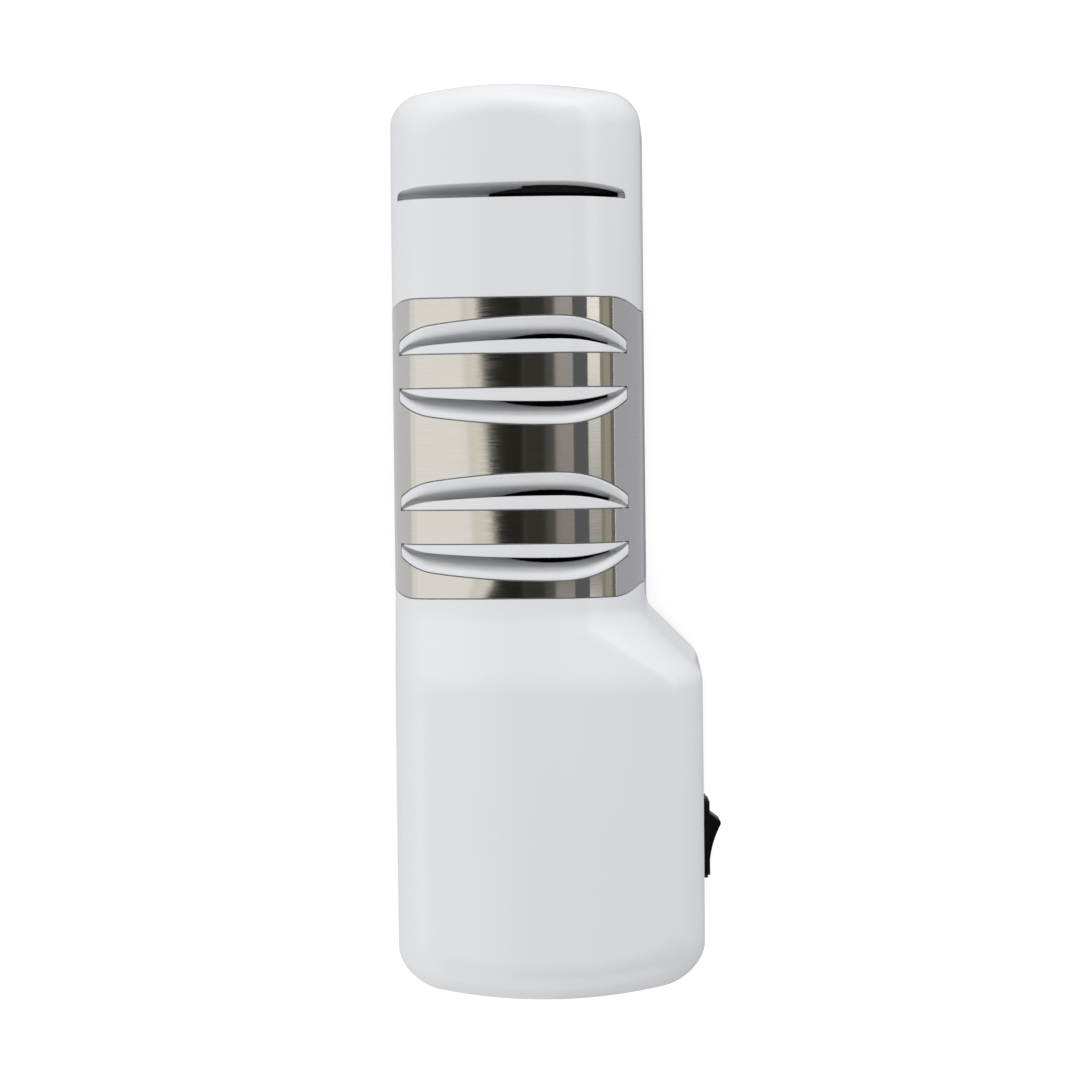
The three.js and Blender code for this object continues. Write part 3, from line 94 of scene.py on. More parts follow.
def add_camera():
    data = bpy.data.cameras.new("camera")
    data.sensor_width = SENSOR_WIDTH * MILLIMETRES
    data.lens = FOCAL_LENGTH * MILLIMETRES
    camera = new_object("camera", data)
    back = (CAMERA_PLACE - CAMERA_TARGET).normalized()
    up = Vector((1, -math.tan(CAMERA_ROLL), 0))
    right = up.cross(back).normalized()
    up = back.cross(right)
    turn = Matrix((right, up, back)).transposed().to_4x4()
    camera.matrix_world = Matrix.Translation(CAMERA_PLACE) @ turn
    bpy.context.scene.camera = camera


add_camera()
bpy.context.scene.view_settings.view_transform = "Standard"


# Sizes

def middle(node):
    low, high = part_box(node)
    return (low + high) / 2


housing_low, housing_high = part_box("upper_housing")
band_low, band_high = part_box("steel_band")
shaft_middle = middle("drive_shaft")

SHAFT_Y = shaft_middle.y
SHAFT_Z = shaft_middle.z
STAGE_NAMES = ["coarse", "fine"]
STAGES = [middle(f"{stage}_hub").x for stage in STAGE_NAMES]
SIDES = [-1, 1]
SIDE_NAMES = {-1: "motor_side", 1: "far_side"}

# Crown, and the walls' faces at the foot of the rounded edges, as distances from the shaft line
MOTOR_CROWN_RISE = 0.006
CROWN = housing_high.z - MOTOR_CROWN_RISE
CROWN_RADIUS = 0.115
BACK_FACE = 0.0392
NARROW_FACE = 0.0237
MOTOR_FACE = 0.0375
DRAFT = math.radians(2)
HOUSING_BOTTOM = housing_low.z

# Rounded edges, whose height is a share of their width, corners in plan, and the bow of both ends
BACK_ROUND = 0.010
NARROW_ROUND = 0.0207
MOTOR_ROUND = 0.010
CROWN_BACK = BACK_FACE - BACK_ROUND
CROWN_FRONT = NARROW_ROUND - NARROW_FACE
FAR_END_ROUND = 0.0078
MOTOR_END_ROUND = 0.010
ROUND_RISE_SHARE = 1.18
DRAFT_GROWTH = math.tan(DRAFT) * (CROWN - NARROW_ROUND - HOUSING_BOTTOM)
FAR_END = housing_high.x - DRAFT_GROWTH
MOTOR_END = housing_low.x + DRAFT_GROWTH
FAR_CORNER = 0.0074
MOTOR_CORNER = 0.0103
CROWN_CORNER = 0.004
FAR_BOW = 0.0026
MOTOR_BOW = 0.0041
FAR_BOW_SHIFT = -0.0024
MOTOR_BOW_SHIFT = 0.0013
BOW_REACH = 0.024

# Steel band. Its edges draw in between two falls below the crown.
BAND_MOTOR_X = band_low.x
BAND_FAR_X = band_high.x
BAND_THICKNESS = 0.0008
BAND_BOTTOM = band_low.z
BAND_BEND_START = 0.006
BAND_BEND_END = 0.021
BAND_BEND_STEPS = 12
BAND_DRAW_IN = 0.003

# Share of a window's margin that is left at its two ends
WINDOW_END_SHARE = 0.25

# Shoulder in plan, and ramp in side view, from the narrow part to the motor part
SHOULDER_SET = 0.0054
SHOULDER_LENGTH = 0.0137
SHOULDER_NARROW_X = BAND_MOTOR_X - SHOULDER_SET
SHOULDER_MOTOR_X = SHOULDER_NARROW_X - SHOULDER_LENGTH
SHOULDER_HOLLOW_RADIUS = 0.006
SHOULDER_ROUND_RADIUS = 0.006
CROWN_HOLLOW_INSET = 0.0015
CROWN_ROUND_INSET = 0.0014
RAMP_SET = 0.0035
RAMP_LENGTH = 0.0175
RAMP_FOOT_X = BAND_MOTOR_X - RAMP_SET
RAMP_TOP_X = RAMP_FOOT_X - RAMP_LENGTH
RAMP_EASE = 0.0025
RAMP_SAMPLES = 21

# Knife slots, as offsets from the middle of their stage at the crown and at the slot floor
SLOT_DEPTH = 0.0117
SLOT_END_INSET = 0.0004
STRIP_HALF_WIDTH = 0.00435
GUIDE_CROWN_OFFSET = 0.00765
GUIDE_FLOOR_OFFSET = 0.00398
ARCH_CROWN_OFFSET = 0.01326
ARCH_FLOOR_OFFSET = 0.0068
STEEP_CROWN_OFFSET = 0.0104
STEEP_FLOOR_OFFSET = 0.0067
LEAD_IN_DEPTH = 0.0017
LEAD_IN_END_DEPTH = 0.0004
LEAD_IN_WIDTH = 0.0021
LEAD_IN_EASE = 0.0012
LEAD_IN_EASE_STEPS = 4
RIM_WIDTH = 0.0005

# Honing slot near the far end
END_SLOT_WIDTH = 0.0037
END_SLOT_FLOOR_WIDTH = 0.0016
END_SLOT_DEPTH = 0.0135
END_SLOT_INSET = 0.0287
END_SLOT_TIP_WIDTH = 0.002
END_SLOT_TIP_LENGTH = 0.006
END_SLOT_TIP_ROUND = 0.0019
END_SLOT_X = FAR_END - END_SLOT_INSET

# Ends of the cutters, past the body
OVERRUN = 0.005
PAST_FRONT = -(MOTOR_FACE + OVERRUN)
PAST_BACK = BACK_FACE + OVERRUN
PAST_TOP = CROWN + OVERRUN
PAST_BOTTOM = HOUSING_BOTTOM - OVERRUN

# Inside of the housing
WALL = 0.0025
SEAT_GAP = 0.0003
GUIDE_BLOCK_HALF = 0.016
GUIDE_BLOCK_CLEARANCE = 0.009
POCKET_RADIUS = 0.020
POCKET_HALF_WIDTH = 0.0105
END_BLOCK_REACH = (0.0092, 0.0131)
END_POCKET_SET = 0.0006
END_POCKET_LENGTH = 0.007
END_POCKET_RADIUS = 0.0188
END_WINDOW_RADIUS = 0.0213
END_WINDOW_BACK_Y = 0.0062

# Cord inlet in the back wall
INLET = middle("inlet_bush")
INLET_SLEEVE_RADIUS = 0.005
INLET_FLANGE_RADIUS = 0.0068
INLET_RECESS = 0.0013

# Switch in the front wall
SWITCH = middle("switch_housing")
BEZEL_LENGTH = 0.0202
BEZEL_HEIGHT = 0.0144
SWITCH_BODY_LENGTH = 0.0192
SWITCH_BODY_HEIGHT = 0.0129
BEZEL_SEAT_Y = -0.0379

# Steps in the mesh of the body. The shares in hold are extra rings near both ends of the walls.
OUTER_STEPS = SimpleNamespace(corner=7, side=14, shoulder=10, ramp=5, cross=26, round=14, hold=(0.01, 0.99))
INNER_STEPS = SimpleNamespace(corner=3, side=3, shoulder=4, ramp=2, cross=6, round=4, hold=())
SLOT_STEPS = 20
ROD_SIDES = 64
SEARCH_STEPS = 30
WELD_REACH = 0.000001


# Body surface, with X as in the frame and Y from the shaft line

def wall_outline(inset):
    """Plan outline of the walls, moved in by an inset, or out where the inset is negative."""
    turn = math.atan2(MOTOR_FACE - NARROW_FACE, SHOULDER_NARROW_X - SHOULDER_MOTOR_X)
    shift = -inset * math.tan(turn / 2)
    return SimpleNamespace(
        back=BACK_FACE - inset,
        narrow=inset - NARROW_FACE,
        motor=inset - MOTOR_FACE,
        far=FAR_END - inset,
        near=MOTOR_END + inset,
        hollow=Vector((SHOULDER_NARROW_X + shift, inset - NARROW_FACE)),
        round=Vector((SHOULDER_MOTOR_X + shift, inset - MOTOR_FACE)),
        far_corner=FAR_CORNER - inset,
        motor_corner=MOTOR_CORNER - inset,
        hollow_radius=SHOULDER_HOLLOW_RADIUS + inset,
        round_radius=SHOULDER_ROUND_RADIUS - inset,
    )


def crown_outline():
    """Plan outline of the crown, where the rounded edges begin."""
    motor = MOTOR_ROUND - MOTOR_FACE
    return SimpleNamespace(
        back=CROWN_BACK,
        narrow=CROWN_FRONT,
        motor=motor,
        far=FAR_END - FAR_END_ROUND,
        near=MOTOR_END + MOTOR_END_ROUND,
        hollow=Vector((SHOULDER_NARROW_X - CROWN_HOLLOW_INSET, CROWN_FRONT)),
        round=Vector((SHOULDER_MOTOR_X - CROWN_ROUND_INSET, motor)),
        far_corner=CROWN_CORNER,
        motor_corner=CROWN_CORNER,
        hollow_radius=SHOULDER_HOLLOW_RADIUS,
        round_radius=SHOULDER_ROUND_RADIUS,
    )


def rounded_corner(before, corner, after, radius, steps):
    """Points of an arc that rounds a corner, from the side of before to the side of after."""
    back = (before - corner).normalized()
    ahead = (after - corner).normalized()
    half = back.angle(ahead) / 2
    centre = corner + (back + ahead).normalized() * (radius / math.sin(half))
    arm = corner + back * (radius / math.tan(half)) - centre
    flow = ahead.x * back.y - ahead.y * back.x
    sweep = math.copysign(math.pi - 2 * half, flow)
    return [centre + Matrix.Rotation(sweep * i / steps, 2) @ arm for i in range(steps + 1)]


def points_between(start, end, count):
    return [start.lerp(end, (i + 1) / (count + 1)) for i in range(count)]


def bow_ends(point, outline):
    """Moves a point so that both ends bow outwards in the middle."""
    at_far = point.x > 0
    low_side = outline.narrow if at_far else outline.motor
    centre = (outline.back + low_side) / 2 + (FAR_BOW_SHIFT if at_far else MOTOR_BOW_SHIFT)
    across = 2 * (point.y - centre) / (outline.back - low_side)
    far_share = max(0, (point.x - outline.far + BOW_REACH) / BOW_REACH)
    near_share = max(0, (outline.near + BOW_REACH - point.x) / BOW_REACH)
    return Vector((point.x + (MOTOR_BOW * near_share - FAR_BOW * far_share) * across ** 2, point.y))


def outline_sides(outline, steps):
    """The back and front of an outline, which run with X, and its two ends, from back to front."""
    near_back = Vector((outline.near, outline.back))
    far_back = Vector((outline.far, outline.back))
    far_front = Vector((outline.far, outline.narrow))
    near_front = Vector((outline.near, outline.motor))
    quarter = 2 * steps.corner
    near_back_arc = rounded_corner(near_front, near_back, far_back, outline.motor_corner, quarter)
    far_back_arc = rounded_corner(near_back, far_back, far_front, outline.far_corner, quarter)
    far_front_arc = rounded_corner(far_back, far_front, outline.hollow, outline.far_corner, quarter)
    near_front_arc = rounded_corner(outline.round, near_front, near_back, outline.motor_corner, quarter)
    round_arc = rounded_corner(
        near_front, outline.round, outline.hollow, outline.round_radius, steps.shoulder,
    )
    hollow_arc = rounded_corner(
        outline.round, outline.hollow, far_front, outline.hollow_radius, steps.shoulder,
    )
    front_inner = [
        *points_between(near_front_arc[0], round_arc[0], steps.side),
        *round_arc,
        *points_between(round_arc[-1], hollow_arc[0], steps.ramp),
        *hollow_arc,
        *points_between(hollow_arc[-1], far_front_arc[quarter], steps.side),
    ]
    half = steps.corner + 1
    front = [*near_front_arc[:half][::-1], *front_inner, *far_front_arc[half - 1:][::-1]]
    back = [
        *near_back_arc[half - 1:],
        *(Vector((point.x, outline.back)) for point in front_inner),
        *far_back_arc[:half],
    ]
    near = [
        *near_back_arc[:half][::-1],
        *points_between(near_back_arc[0], near_front_arc[quarter], steps.cross),
        *near_front_arc[half - 1:][::-1],
    ]
    far = [
        *far_back_arc[half - 1:],
        *points_between(far_back_arc[quarter], far_front_arc[0], steps.cross),
        *far_front_arc[:half],
    ]
    return [[bow_ends(point, outline) for point in side] for side in (back, front, near, far)]


def outline_loop(back, front, near, far):
    return [*back, *far[1:], *front[:-1][::-1], *near[1:-1][::-1]]


def crown_line(x):
    """Height along the middle of the crown, with the ramp up to the motor part."""
    slope = MOTOR_CROWN_RISE / (RAMP_FOOT_X - RAMP_TOP_X)
    total = 0
    for i in range(RAMP_SAMPLES):
        place = x + RAMP_EASE * (2 * i / (RAMP_SAMPLES - 1) - 1)
        total += max(0, min(MOTOR_CROWN_RISE, (RAMP_FOOT_X - place) * slope))
    return CROWN + total / RAMP_SAMPLES


def crown_sag(y):
    return CROWN_RADIUS - math.sqrt(CROWN_RADIUS ** 2 - y ** 2)


def crown_surface(x, y):
    return crown_line(x) - crown_sag(y)


def crown_grid(back, front, near, far):
    """Rows of plan points that fill an outline between its four sides."""
    grid = []
    for k, back_point in enumerate(back):
        u = (back_point.x - back[0].x) / (back[-1].x - back[0].x)
        row = []
        for j, near_point in enumerate(near):
            v = (near_point.y - near[0].y) / (near[-1].y - near[0].y)
            across = back_point * (1 - v) + front[k] * v
            along = near_point * (1 - u) + far[j] * u
            back_chord = back[0] * (1 - u) + back[-1] * u
            front_chord = front[0] * (1 - u) + front[-1] * u
            row.append(across + along - (back_chord * (1 - v) + front_chord * v))
        grid.append(row)
    return grid


def grid_faces(rows, columns):
    """Faces between the points of a grid, which are listed row by row."""
    faces = []
    for k in range(rows - 1):
        for j in range(columns - 1):
            corner = k * columns + j
            faces.append((corner, corner + 1, corner + columns + 1, corner + columns))
    return faces


def grid_rim(rows, columns):
    """Points round the rim of a grid, in the order of outline_loop."""
    return [
        *(k * columns for k in range(rows)),
        *((rows - 1) * columns + j for j in range(1, columns)),
        *(k * columns + columns - 1 for k in range(rows - 2, -1, -1)),
        *range(columns - 2, 0, -1),
    ]


def edge_rings(crown_loop, wall_loop, inset, count):
    """Rings round the rounded edge, from below the crown to the top of the walls."""
    rings = []
    for step in range(count - 1, -1, -1):
        angle = step / count * math.pi / 2
        ring = []
        for inner, outer in zip(crown_loop, wall_loop):
            plan = outer.lerp(inner, 1 - math.cos(angle))
            fall = ROUND_RISE_SHARE * (outer - inner).length * (1 - math.sin(angle))
            ring.append(Vector((plan.x, plan.y, crown_surface(plan.x, plan.y) - inset - fall)))
        rings.append(ring)
    return rings


def add_ring(points, faces, upper, ring):
    """Adds a ring of points, and the faces between it and the ring above."""
    start = len(points)
    points.extend(ring)
    count = len(ring)
    for i in range(count):
        following = (i + 1) % count
        faces.append((upper[i], upper[following], start + following, start + i))
    return range(start, start + count)


def body_form(name, inset, bottom, steps=OUTER_STEPS):
    """The closed outer form of the body, moved in by an inset and cut flat at the bottom."""
    crown_sides = outline_sides(crown_outline(), steps)
    wall_sides = outline_sides(wall_outline(inset), steps)
    base_sides = outline_sides(wall_outline(inset - DRAFT_GROWTH), steps)
    grid = crown_grid(*crown_sides)
    size = (len(grid), len(grid[0]))
    points = [Vector((p.x, p.y, crown_surface(p.x, p.y) - inset)) for row in grid for p in row]
    faces = grid_faces(*size)
    rings = edge_rings(outline_loop(*crown_sides), outline_loop(*wall_sides), inset, steps.round)
    top = rings[-1]
    foot = [Vector((p.x, p.y, bottom)) for p in outline_loop(*base_sides)]
    rings.extend([high.lerp(low, share) for high, low in zip(top, foot)] for share in steps.hold)
    rings.append(foot)
    upper = grid_rim(*size)
    for ring in rings:
        upper = add_ring(points, faces, upper, ring)
    start = len(points)
    points.extend(Vector((p.x, p.y, bottom)) for row in crown_grid(*base_sides) for p in row)
    faces.extend(tuple(start + i for i in face[::-1]) for face in grid_faces(*size))
    return mesh_object(name, points, faces)


# Mesh helpers

def mesh_object(name, points, faces):
    """A closed mesh in the scene. Its points have Y from the shaft line, and are welded where they meet."""
    mesh = bpy.data.meshes.new(name)
    mesh.from_pydata([(p[0], p[1] + SHAFT_Y, p[2]) for p in points], [], faces)
    piece = new_object(name, mesh)
    weld(piece)
    apply_modifiers(piece)
    return piece


def weld(piece):
    piece.modifiers.new("weld", "WELD").merge_threshold = WELD_REACH


def apply_modifiers(piece):
    depsgraph = bpy.context.evaluated_depsgraph_get()
    mesh = bpy.data.meshes.new_from_object(piece.evaluated_get(depsgraph))
    piece.modifiers.clear()
    old = piece.data
    piece.data = mesh
    bpy.data.meshes.remove(old)


def combine(piece, operation, others):
    """Joins, cuts or keeps the overlap of piece with each of the others, which are used up."""
    for other in others:
        modifier = piece.modifiers.new(operation.lower(), "BOOLEAN")
        modifier.operation = operation
        modifier.solver = "MANIFOLD"
        modifier.object = other
    apply_modifiers(piece)
    for other in others:
        mesh = other.data
        bpy.data.objects.remove(other)
        bpy.data.meshes.remove(mesh)
    return piece


def prism(outline, axis, low, high):
    """A prism along an axis. The outline's two coordinates are the axes left over, in X, Y, Z order."""
    def point(u, v, w):
        return {"X": (w, u, v), "Y": (u, w, v), "Z": (u, v, w)}[axis]

    count = len(outline)
    points = [point(u, v, low) for u, v in outline] + [point(u, v, high) for u, v in outline]
    faces = [tuple(range(count))[::-1], tuple(range(count, 2 * count))]
    for i in range(count):
        following = (i + 1) % count
        faces.append((i, following, count + following, count + i))
    return outward(mesh_object("cutter", points, faces))


def outward(piece):
    """Turns the faces of a closed mesh outwards."""
    mesh = piece.data
    mesh.calc_loop_triangles()
    volume = sum(
        mesh.vertices[a].co.dot(mesh.vertices[b].co.cross(mesh.vertices[c].co))
        for a, b, c in (triangle.vertices for triangle in mesh.loop_triangles)
    )
    if volume < 0:
        mesh.flip_normals()
    return piece


def circle(u, v, radius, sides=ROD_SIDES):
    turns = [2 * math.pi * i / sides for i in range(sides)]
    return [(u + radius * math.cos(turn), v + radius * math.sin(turn)) for turn in turns]


def rectangle(low, high):
    return [(low[0], low[1]), (high[0], low[1]), (high[0], high[1]), (low[0], high[1])]


# Slots, windows and pockets

def narrow_drop(y):
    """How far the surface over the narrow part has fallen from the crown line."""
    past_back = max(y - CROWN_BACK, 0) / BACK_ROUND
    past_front = max(CROWN_FRONT - y, 0) / NARROW_ROUND
    past = past_back + past_front
    width = BACK_ROUND if y > 0 else NARROW_ROUND
    return crown_sag(y) + ROUND_RISE_SHARE * width * (1 - math.sqrt(max(0, 1 - past ** 2)))


def slot_places():
    """Places across the narrow part, from front to back, at even angles round each rounded edge."""
    swing = [math.sin((i + 1) / (SLOT_STEPS + 1) * math.pi / 2) for i in range(SLOT_STEPS)]
    span = CROWN_BACK - CROWN_FRONT
    return [
        -(NARROW_FACE + OVERRUN),
        *(CROWN_FRONT - NARROW_ROUND * share for share in swing[::-1]),
        *(CROWN_FRONT + span * i / SLOT_STEPS for i in range(SLOT_STEPS + 1)),
        *(CROWN_BACK + BACK_ROUND * share for share in swing),
        PAST_BACK,
    ]


def between(start, end, share):
    return start + (end - start) * share


def arch_offset(drop):
    """Offset of the arched outer edge of a slot from the middle of its stage."""
    return between(ARCH_CROWN_OFFSET, ARCH_FLOOR_OFFSET, drop / SLOT_DEPTH)


def eased_corner(before, corner, after):
    """Points of a curve that eases the corner between two legs."""
    reach = min(LEAD_IN_EASE, (before - corner).length / 2, (after - corner).length / 2)
    start = corner + (before - corner).normalized() * reach
    end = corner + (after - corner).normalized() * reach
    shares = [i / LEAD_IN_EASE_STEPS for i in range(LEAD_IN_EASE_STEPS + 1)]
    return [start.lerp(corner, share).lerp(corner.lerp(end, share), share) for share in shares]


def slot_section(y):
    """Section of a knife slot at a place across the body, as offsets and heights."""
    floor = CROWN - SLOT_DEPTH
    drop = min(narrow_drop(y), SLOT_DEPTH - 2 * LEAD_IN_END_DEPTH)
    share = drop / SLOT_DEPTH
    surface = CROWN - drop
    facet = surface - between(LEAD_IN_DEPTH, LEAD_IN_END_DEPTH, share)
    facet_share = (facet - floor) / (SLOT_DEPTH - LEAD_IN_DEPTH)
    guide = between(GUIDE_CROWN_OFFSET, GUIDE_FLOOR_OFFSET, share)
    steep = between(STEEP_FLOOR_OFFSET, STEEP_CROWN_OFFSET, facet_share)
    edge = max(arch_offset(drop) - RIM_WIDTH, steep)
    steep = min(steep, edge - LEAD_IN_WIDTH)
    rim = Vector((edge, surface))
    foot = Vector((min(STEEP_FLOOR_OFFSET, steep), floor))
    return [
        (GUIDE_FLOOR_OFFSET, floor),
        (guide, surface),
        (guide, PAST_TOP),
        (edge + RIM_WIDTH, PAST_TOP),
        rim,
        *eased_corner(rim, Vector((steep, facet)), foot),
        foot,
    ]


def slot_cutter(stage_x, side):
    """One knife slot: a leaning guide wall inside, a steep wall with a fading lead-in outside."""
    places = slot_places()
    points = [(stage_x + side * offset, y, z) for y in places for offset, z in slot_section(y)]
    size = len(points) // len(places)
    faces = [tuple(range(size)), tuple(range(len(points) - size, len(points)))[::-1]]
    for start in range(0, len(points) - size, size):
        for i in range(size):
            a, b = start + i, start + (i + 1) % size
            faces.append((a, a + size, b + size, b))
    return outward(mesh_object("cutter", points, faces))


def end_slot_tip(end, inward):
    """Plan of one end of the honing slot, rounded where the leaning wall meets it."""
    edge = Vector((END_SLOT_X, end))
    corner = edge + Vector((END_SLOT_TIP_WIDTH, 0))
    wide = edge + Vector((END_SLOT_WIDTH, inward * END_SLOT_TIP_LENGTH))
    return [edge, *rounded_corner(edge, corner, wide, END_SLOT_TIP_ROUND, SLOT_STEPS), wide]


def end_slot_cutter():
    """The honing slot: one upright wall and one leaning wall that close on each other."""
    floor = CROWN - END_SLOT_DEPTH
    lean = (END_SLOT_WIDTH - END_SLOT_FLOOR_WIDTH) / END_SLOT_DEPTH
    outline = [
        (END_SLOT_X, floor),
        (END_SLOT_X + END_SLOT_FLOOR_WIDTH, floor),
        (END_SLOT_X + END_SLOT_WIDTH + lean * OVERRUN, PAST_TOP),
        (END_SLOT_X, PAST_TOP),
    ]
    front, back = slot_end_place(-1), slot_end_place(1)
    plan = end_slot_tip(front, 1) + end_slot_tip(back, -1)[::-1]
    cutter = prism(outline, "Y", front, back)
    return combine(cutter, "INTERSECT", [prism(plan, "Z", floor, PAST_TOP)])


def band_draw_in(drop):
    """How far each edge of the band has drawn in, once the surface has fallen by a drop."""
    share = max(0, min(1, (drop - BAND_BEND_START) / (BAND_BEND_END - BAND_BEND_START)))
    return BAND_DRAW_IN * share ** 2 * (3 - 2 * share)


def band_slab(margin):
    """The band's side view as a block that holds all of it."""
    shares = [i / BAND_BEND_STEPS for i in range(BAND_BEND_STEPS + 1)]
    drops = [between(BAND_BEND_END, BAND_BEND_START, share) for share in shares]
    edge = [(band_draw_in(drop) - margin, CROWN - drop) for drop in drops]
    edge = [(BAND_DRAW_IN - margin, BAND_BOTTOM - margin), *edge, (-margin, PAST_TOP)]
    outline = [(BAND_FAR_X - inset, z) for inset, z in edge]
    outline += [(BAND_MOTOR_X + inset, z) for inset, z in edge[::-1]]
    return prism(outline, "Y", PAST_FRONT, OVERRUN - PAST_FRONT)


def slot_end_place(direction):
    """Just short of where the surface falls to the slot floor, at the front (-1) or at the back (1)."""
    inside = 0
    outside = BACK_FACE if direction > 0 else -NARROW_FACE
    for _ in range(SEARCH_STEPS):
        half = (inside + outside) / 2
        if narrow_drop(half) < SLOT_DEPTH:
            inside = half
        else:
            outside = half
    return inside - direction * SLOT_END_INSET


def band_window(stage_x, side, margin):
    """Cutter for the window beside the straight strip, grown by a margin."""
    end_margin = margin * WINDOW_END_SHARE
    front, back = slot_end_place(-1) - end_margin, slot_end_place(1) + end_margin
    arch = [
        (stage_x + side * (arch_offset(narrow_drop(y)) + margin), y)
        for y in slot_places() if front < y < back
    ]
    inner = stage_x + side * (STRIP_HALF_WIDTH - margin)
    outer = stage_x + side * (ARCH_FLOOR_OFFSET + margin)
    outline = [(inner, front), (outer, front), *arch, (outer, back), (inner, back)]
    return prism(outline, "Z", CROWN - SLOT_DEPTH - OVERRUN, PAST_TOP)


def band_windows(margin):
    return [band_window(x, side, margin) for x in STAGES for side in SIDES]


def guide_blocks():
    """Blocks under the crown, for the slots to be cut into."""
    bottom = SHAFT_Z + GUIDE_BLOCK_CLEARANCE
    spans = [(x - GUIDE_BLOCK_HALF, x + GUIDE_BLOCK_HALF) for x in STAGES]
    spans.append((END_SLOT_X - END_BLOCK_REACH[0], END_SLOT_X + END_BLOCK_REACH[1]))
    return [
        prism(rectangle((low, bottom), (high, PAST_TOP)), "Y", PAST_FRONT, PAST_BACK) for low, high in spans
    ]


def shaft_cylinder(radius, low, high):
    return prism(circle(0, SHAFT_Z, radius), "X", low, high)


def disc_pockets():
    """Room for the discs of each stage, and for the honing disc with its window towards the front."""
    start = END_SLOT_X + END_POCKET_SET
    end = start + END_POCKET_LENGTH
    window = shaft_cylinder(END_WINDOW_RADIUS, start, end)
    front_side = rectangle((PAST_FRONT, 0), (END_WINDOW_BACK_Y, CROWN))
    combine(window, "INTERSECT", [prism(front_side, "X", start - OVERRUN, end + OVERRUN)])
    return [
        *(shaft_cylinder(POCKET_RADIUS, x - POCKET_HALF_WIDTH, x + POCKET_HALF_WIDTH) for x in STAGES),
        shaft_cylinder(END_POCKET_RADIUS, start, end),
        window,
    ]


def switch_opening():
    """The hole for the body of the switch, and the seat for its bezel."""
    hole = (SWITCH_BODY_LENGTH / 2 + SEAT_GAP, SWITCH_BODY_HEIGHT / 2 + SEAT_GAP)
    seat = (BEZEL_LENGTH / 2 + SEAT_GAP, BEZEL_HEIGHT / 2 + SEAT_GAP)

    def opening(half, depth):
        low = (SWITCH.x - half[0], SWITCH.z - half[1])
        high = (SWITCH.x + half[0], SWITCH.z + half[1])
        return prism(rectangle(low, high), "Y", PAST_FRONT, depth)

    return [opening(hole, BEZEL_SEAT_Y + WALL + OVERRUN), opening(seat, BEZEL_SEAT_Y)]


def back_wall_at(z):
    """Outer face of the back wall at a height."""
    start = CROWN - crown_sag(BACK_FACE) - ROUND_RISE_SHARE * BACK_ROUND
    return BACK_FACE + DRAFT_GROWTH * (start - z) / (start - HOUSING_BOTTOM)


def inlet_opening():
    """The hole for the sleeve of the inlet, and the recess for its flange."""
    face = back_wall_at(INLET.z)
    bores = [(INLET_SLEEVE_RADIUS, WALL + OVERRUN), (INLET_FLANGE_RADIUS, INLET_RECESS)]
    return [
        prism(circle(INLET.x, INLET.z, radius + SEAT_GAP), "Y", face - depth, face + OVERRUN)
        for radius, depth in bores
    ]


# Shading of meshes

CREASE = math.radians(38)
SKIN_REACH = 0.00002
SKIN_ALIGNMENT = 0.94


def smooth(piece, crease=CREASE):
    piece.data.shade_smooth()
    piece.data.set_sharp_from_angle(angle=crease)
    return piece


def follow_skin(piece, skin):
    """Gives the corners that lie on an uncut skin the skin's own smooth normals."""
    smooth(skin, math.pi)
    tree = BVHTree.FromObject(skin, bpy.context.evaluated_depsgraph_get())
    skin_mesh = skin.data
    mesh = piece.data
    normals = [Vector(corner.vector) for corner in mesh.corner_normals]
    for face in mesh.polygons:
        for loop_index in face.loop_indices:
            place = mesh.vertices[mesh.loops[loop_index].vertex_index].co
            found, face_normal, index, distance = tree.find_nearest(place)
            if distance > SKIN_REACH or face.normal.dot(face_normal) < SKIN_ALIGNMENT:
                continue
            corners = [skin_mesh.vertices[corner] for corner in skin_mesh.polygons[index].vertices]
            weights = poly_3d_calc([corner.co for corner in corners], found)
            blended = sum((corner.normal * weight for corner, weight in zip(corners, weights)), Vector())
            normals[loop_index] = blended.normalized()
    mesh.normals_split_custom_set(normals)
    return piece


# Pieces

EDGE_STEPS = 3
EDGE_ANGLE = math.radians(30)
EDGE_ROUNDS = {
    "base_plate": 0.0004,
    "switch_housing": 0.0003,
    "switch_rocker": 0.0003,
    "inlet_bush": 0.0003,
}


def housing_shell():
    """The upper housing, with the recess for the band and all of its openings."""
    shell = body_form("housing_shell", 0, HOUSING_BOTTOM)
    inside = body_form("inside", WALL / 2, HOUSING_BOTTOM, INNER_STEPS)
    *other_blocks, block = guide_blocks()
    combine(block, "UNION", other_blocks)
    combine(block, "INTERSECT", [inside])
    combine(shell, "DIFFERENCE", [body_form("hollow", WALL, PAST_BOTTOM, INNER_STEPS)])
    combine(shell, "UNION", [block])
    recess = band_slab(SEAT_GAP)
    combine(recess, "DIFFERENCE", [
        body_form("recess_floor", BAND_THICKNESS + SEAT_GAP, PAST_BOTTOM),
        *band_windows(0),
    ])
    combine(shell, "DIFFERENCE", [
        recess,
        *(slot_cutter(x, side) for x in STAGES for side in SIDES),
        end_slot_cutter(),
        *disc_pockets(),
        *switch_opening(),
        *inlet_opening(),
    ])
    return smooth(shell)


def band_sheet():
    """The steel band, wrapped over the narrow part."""
    sheet = body_form("band_sheet", 0, HOUSING_BOTTOM)
    combine(sheet, "DIFFERENCE", [body_form("inner", BAND_THICKNESS, PAST_BOTTOM)])
    combine(sheet, "INTERSECT", [band_slab(0)])
    combine(sheet, "DIFFERENCE", band_windows(SEAT_GAP))
    return smooth(sheet)


def node_copy(node, name):
    """A copy of a CAD node, to be shaped further."""
    piece = new_object(name, frame["nodes"][node].data.copy())
    weld(piece)
    return piece


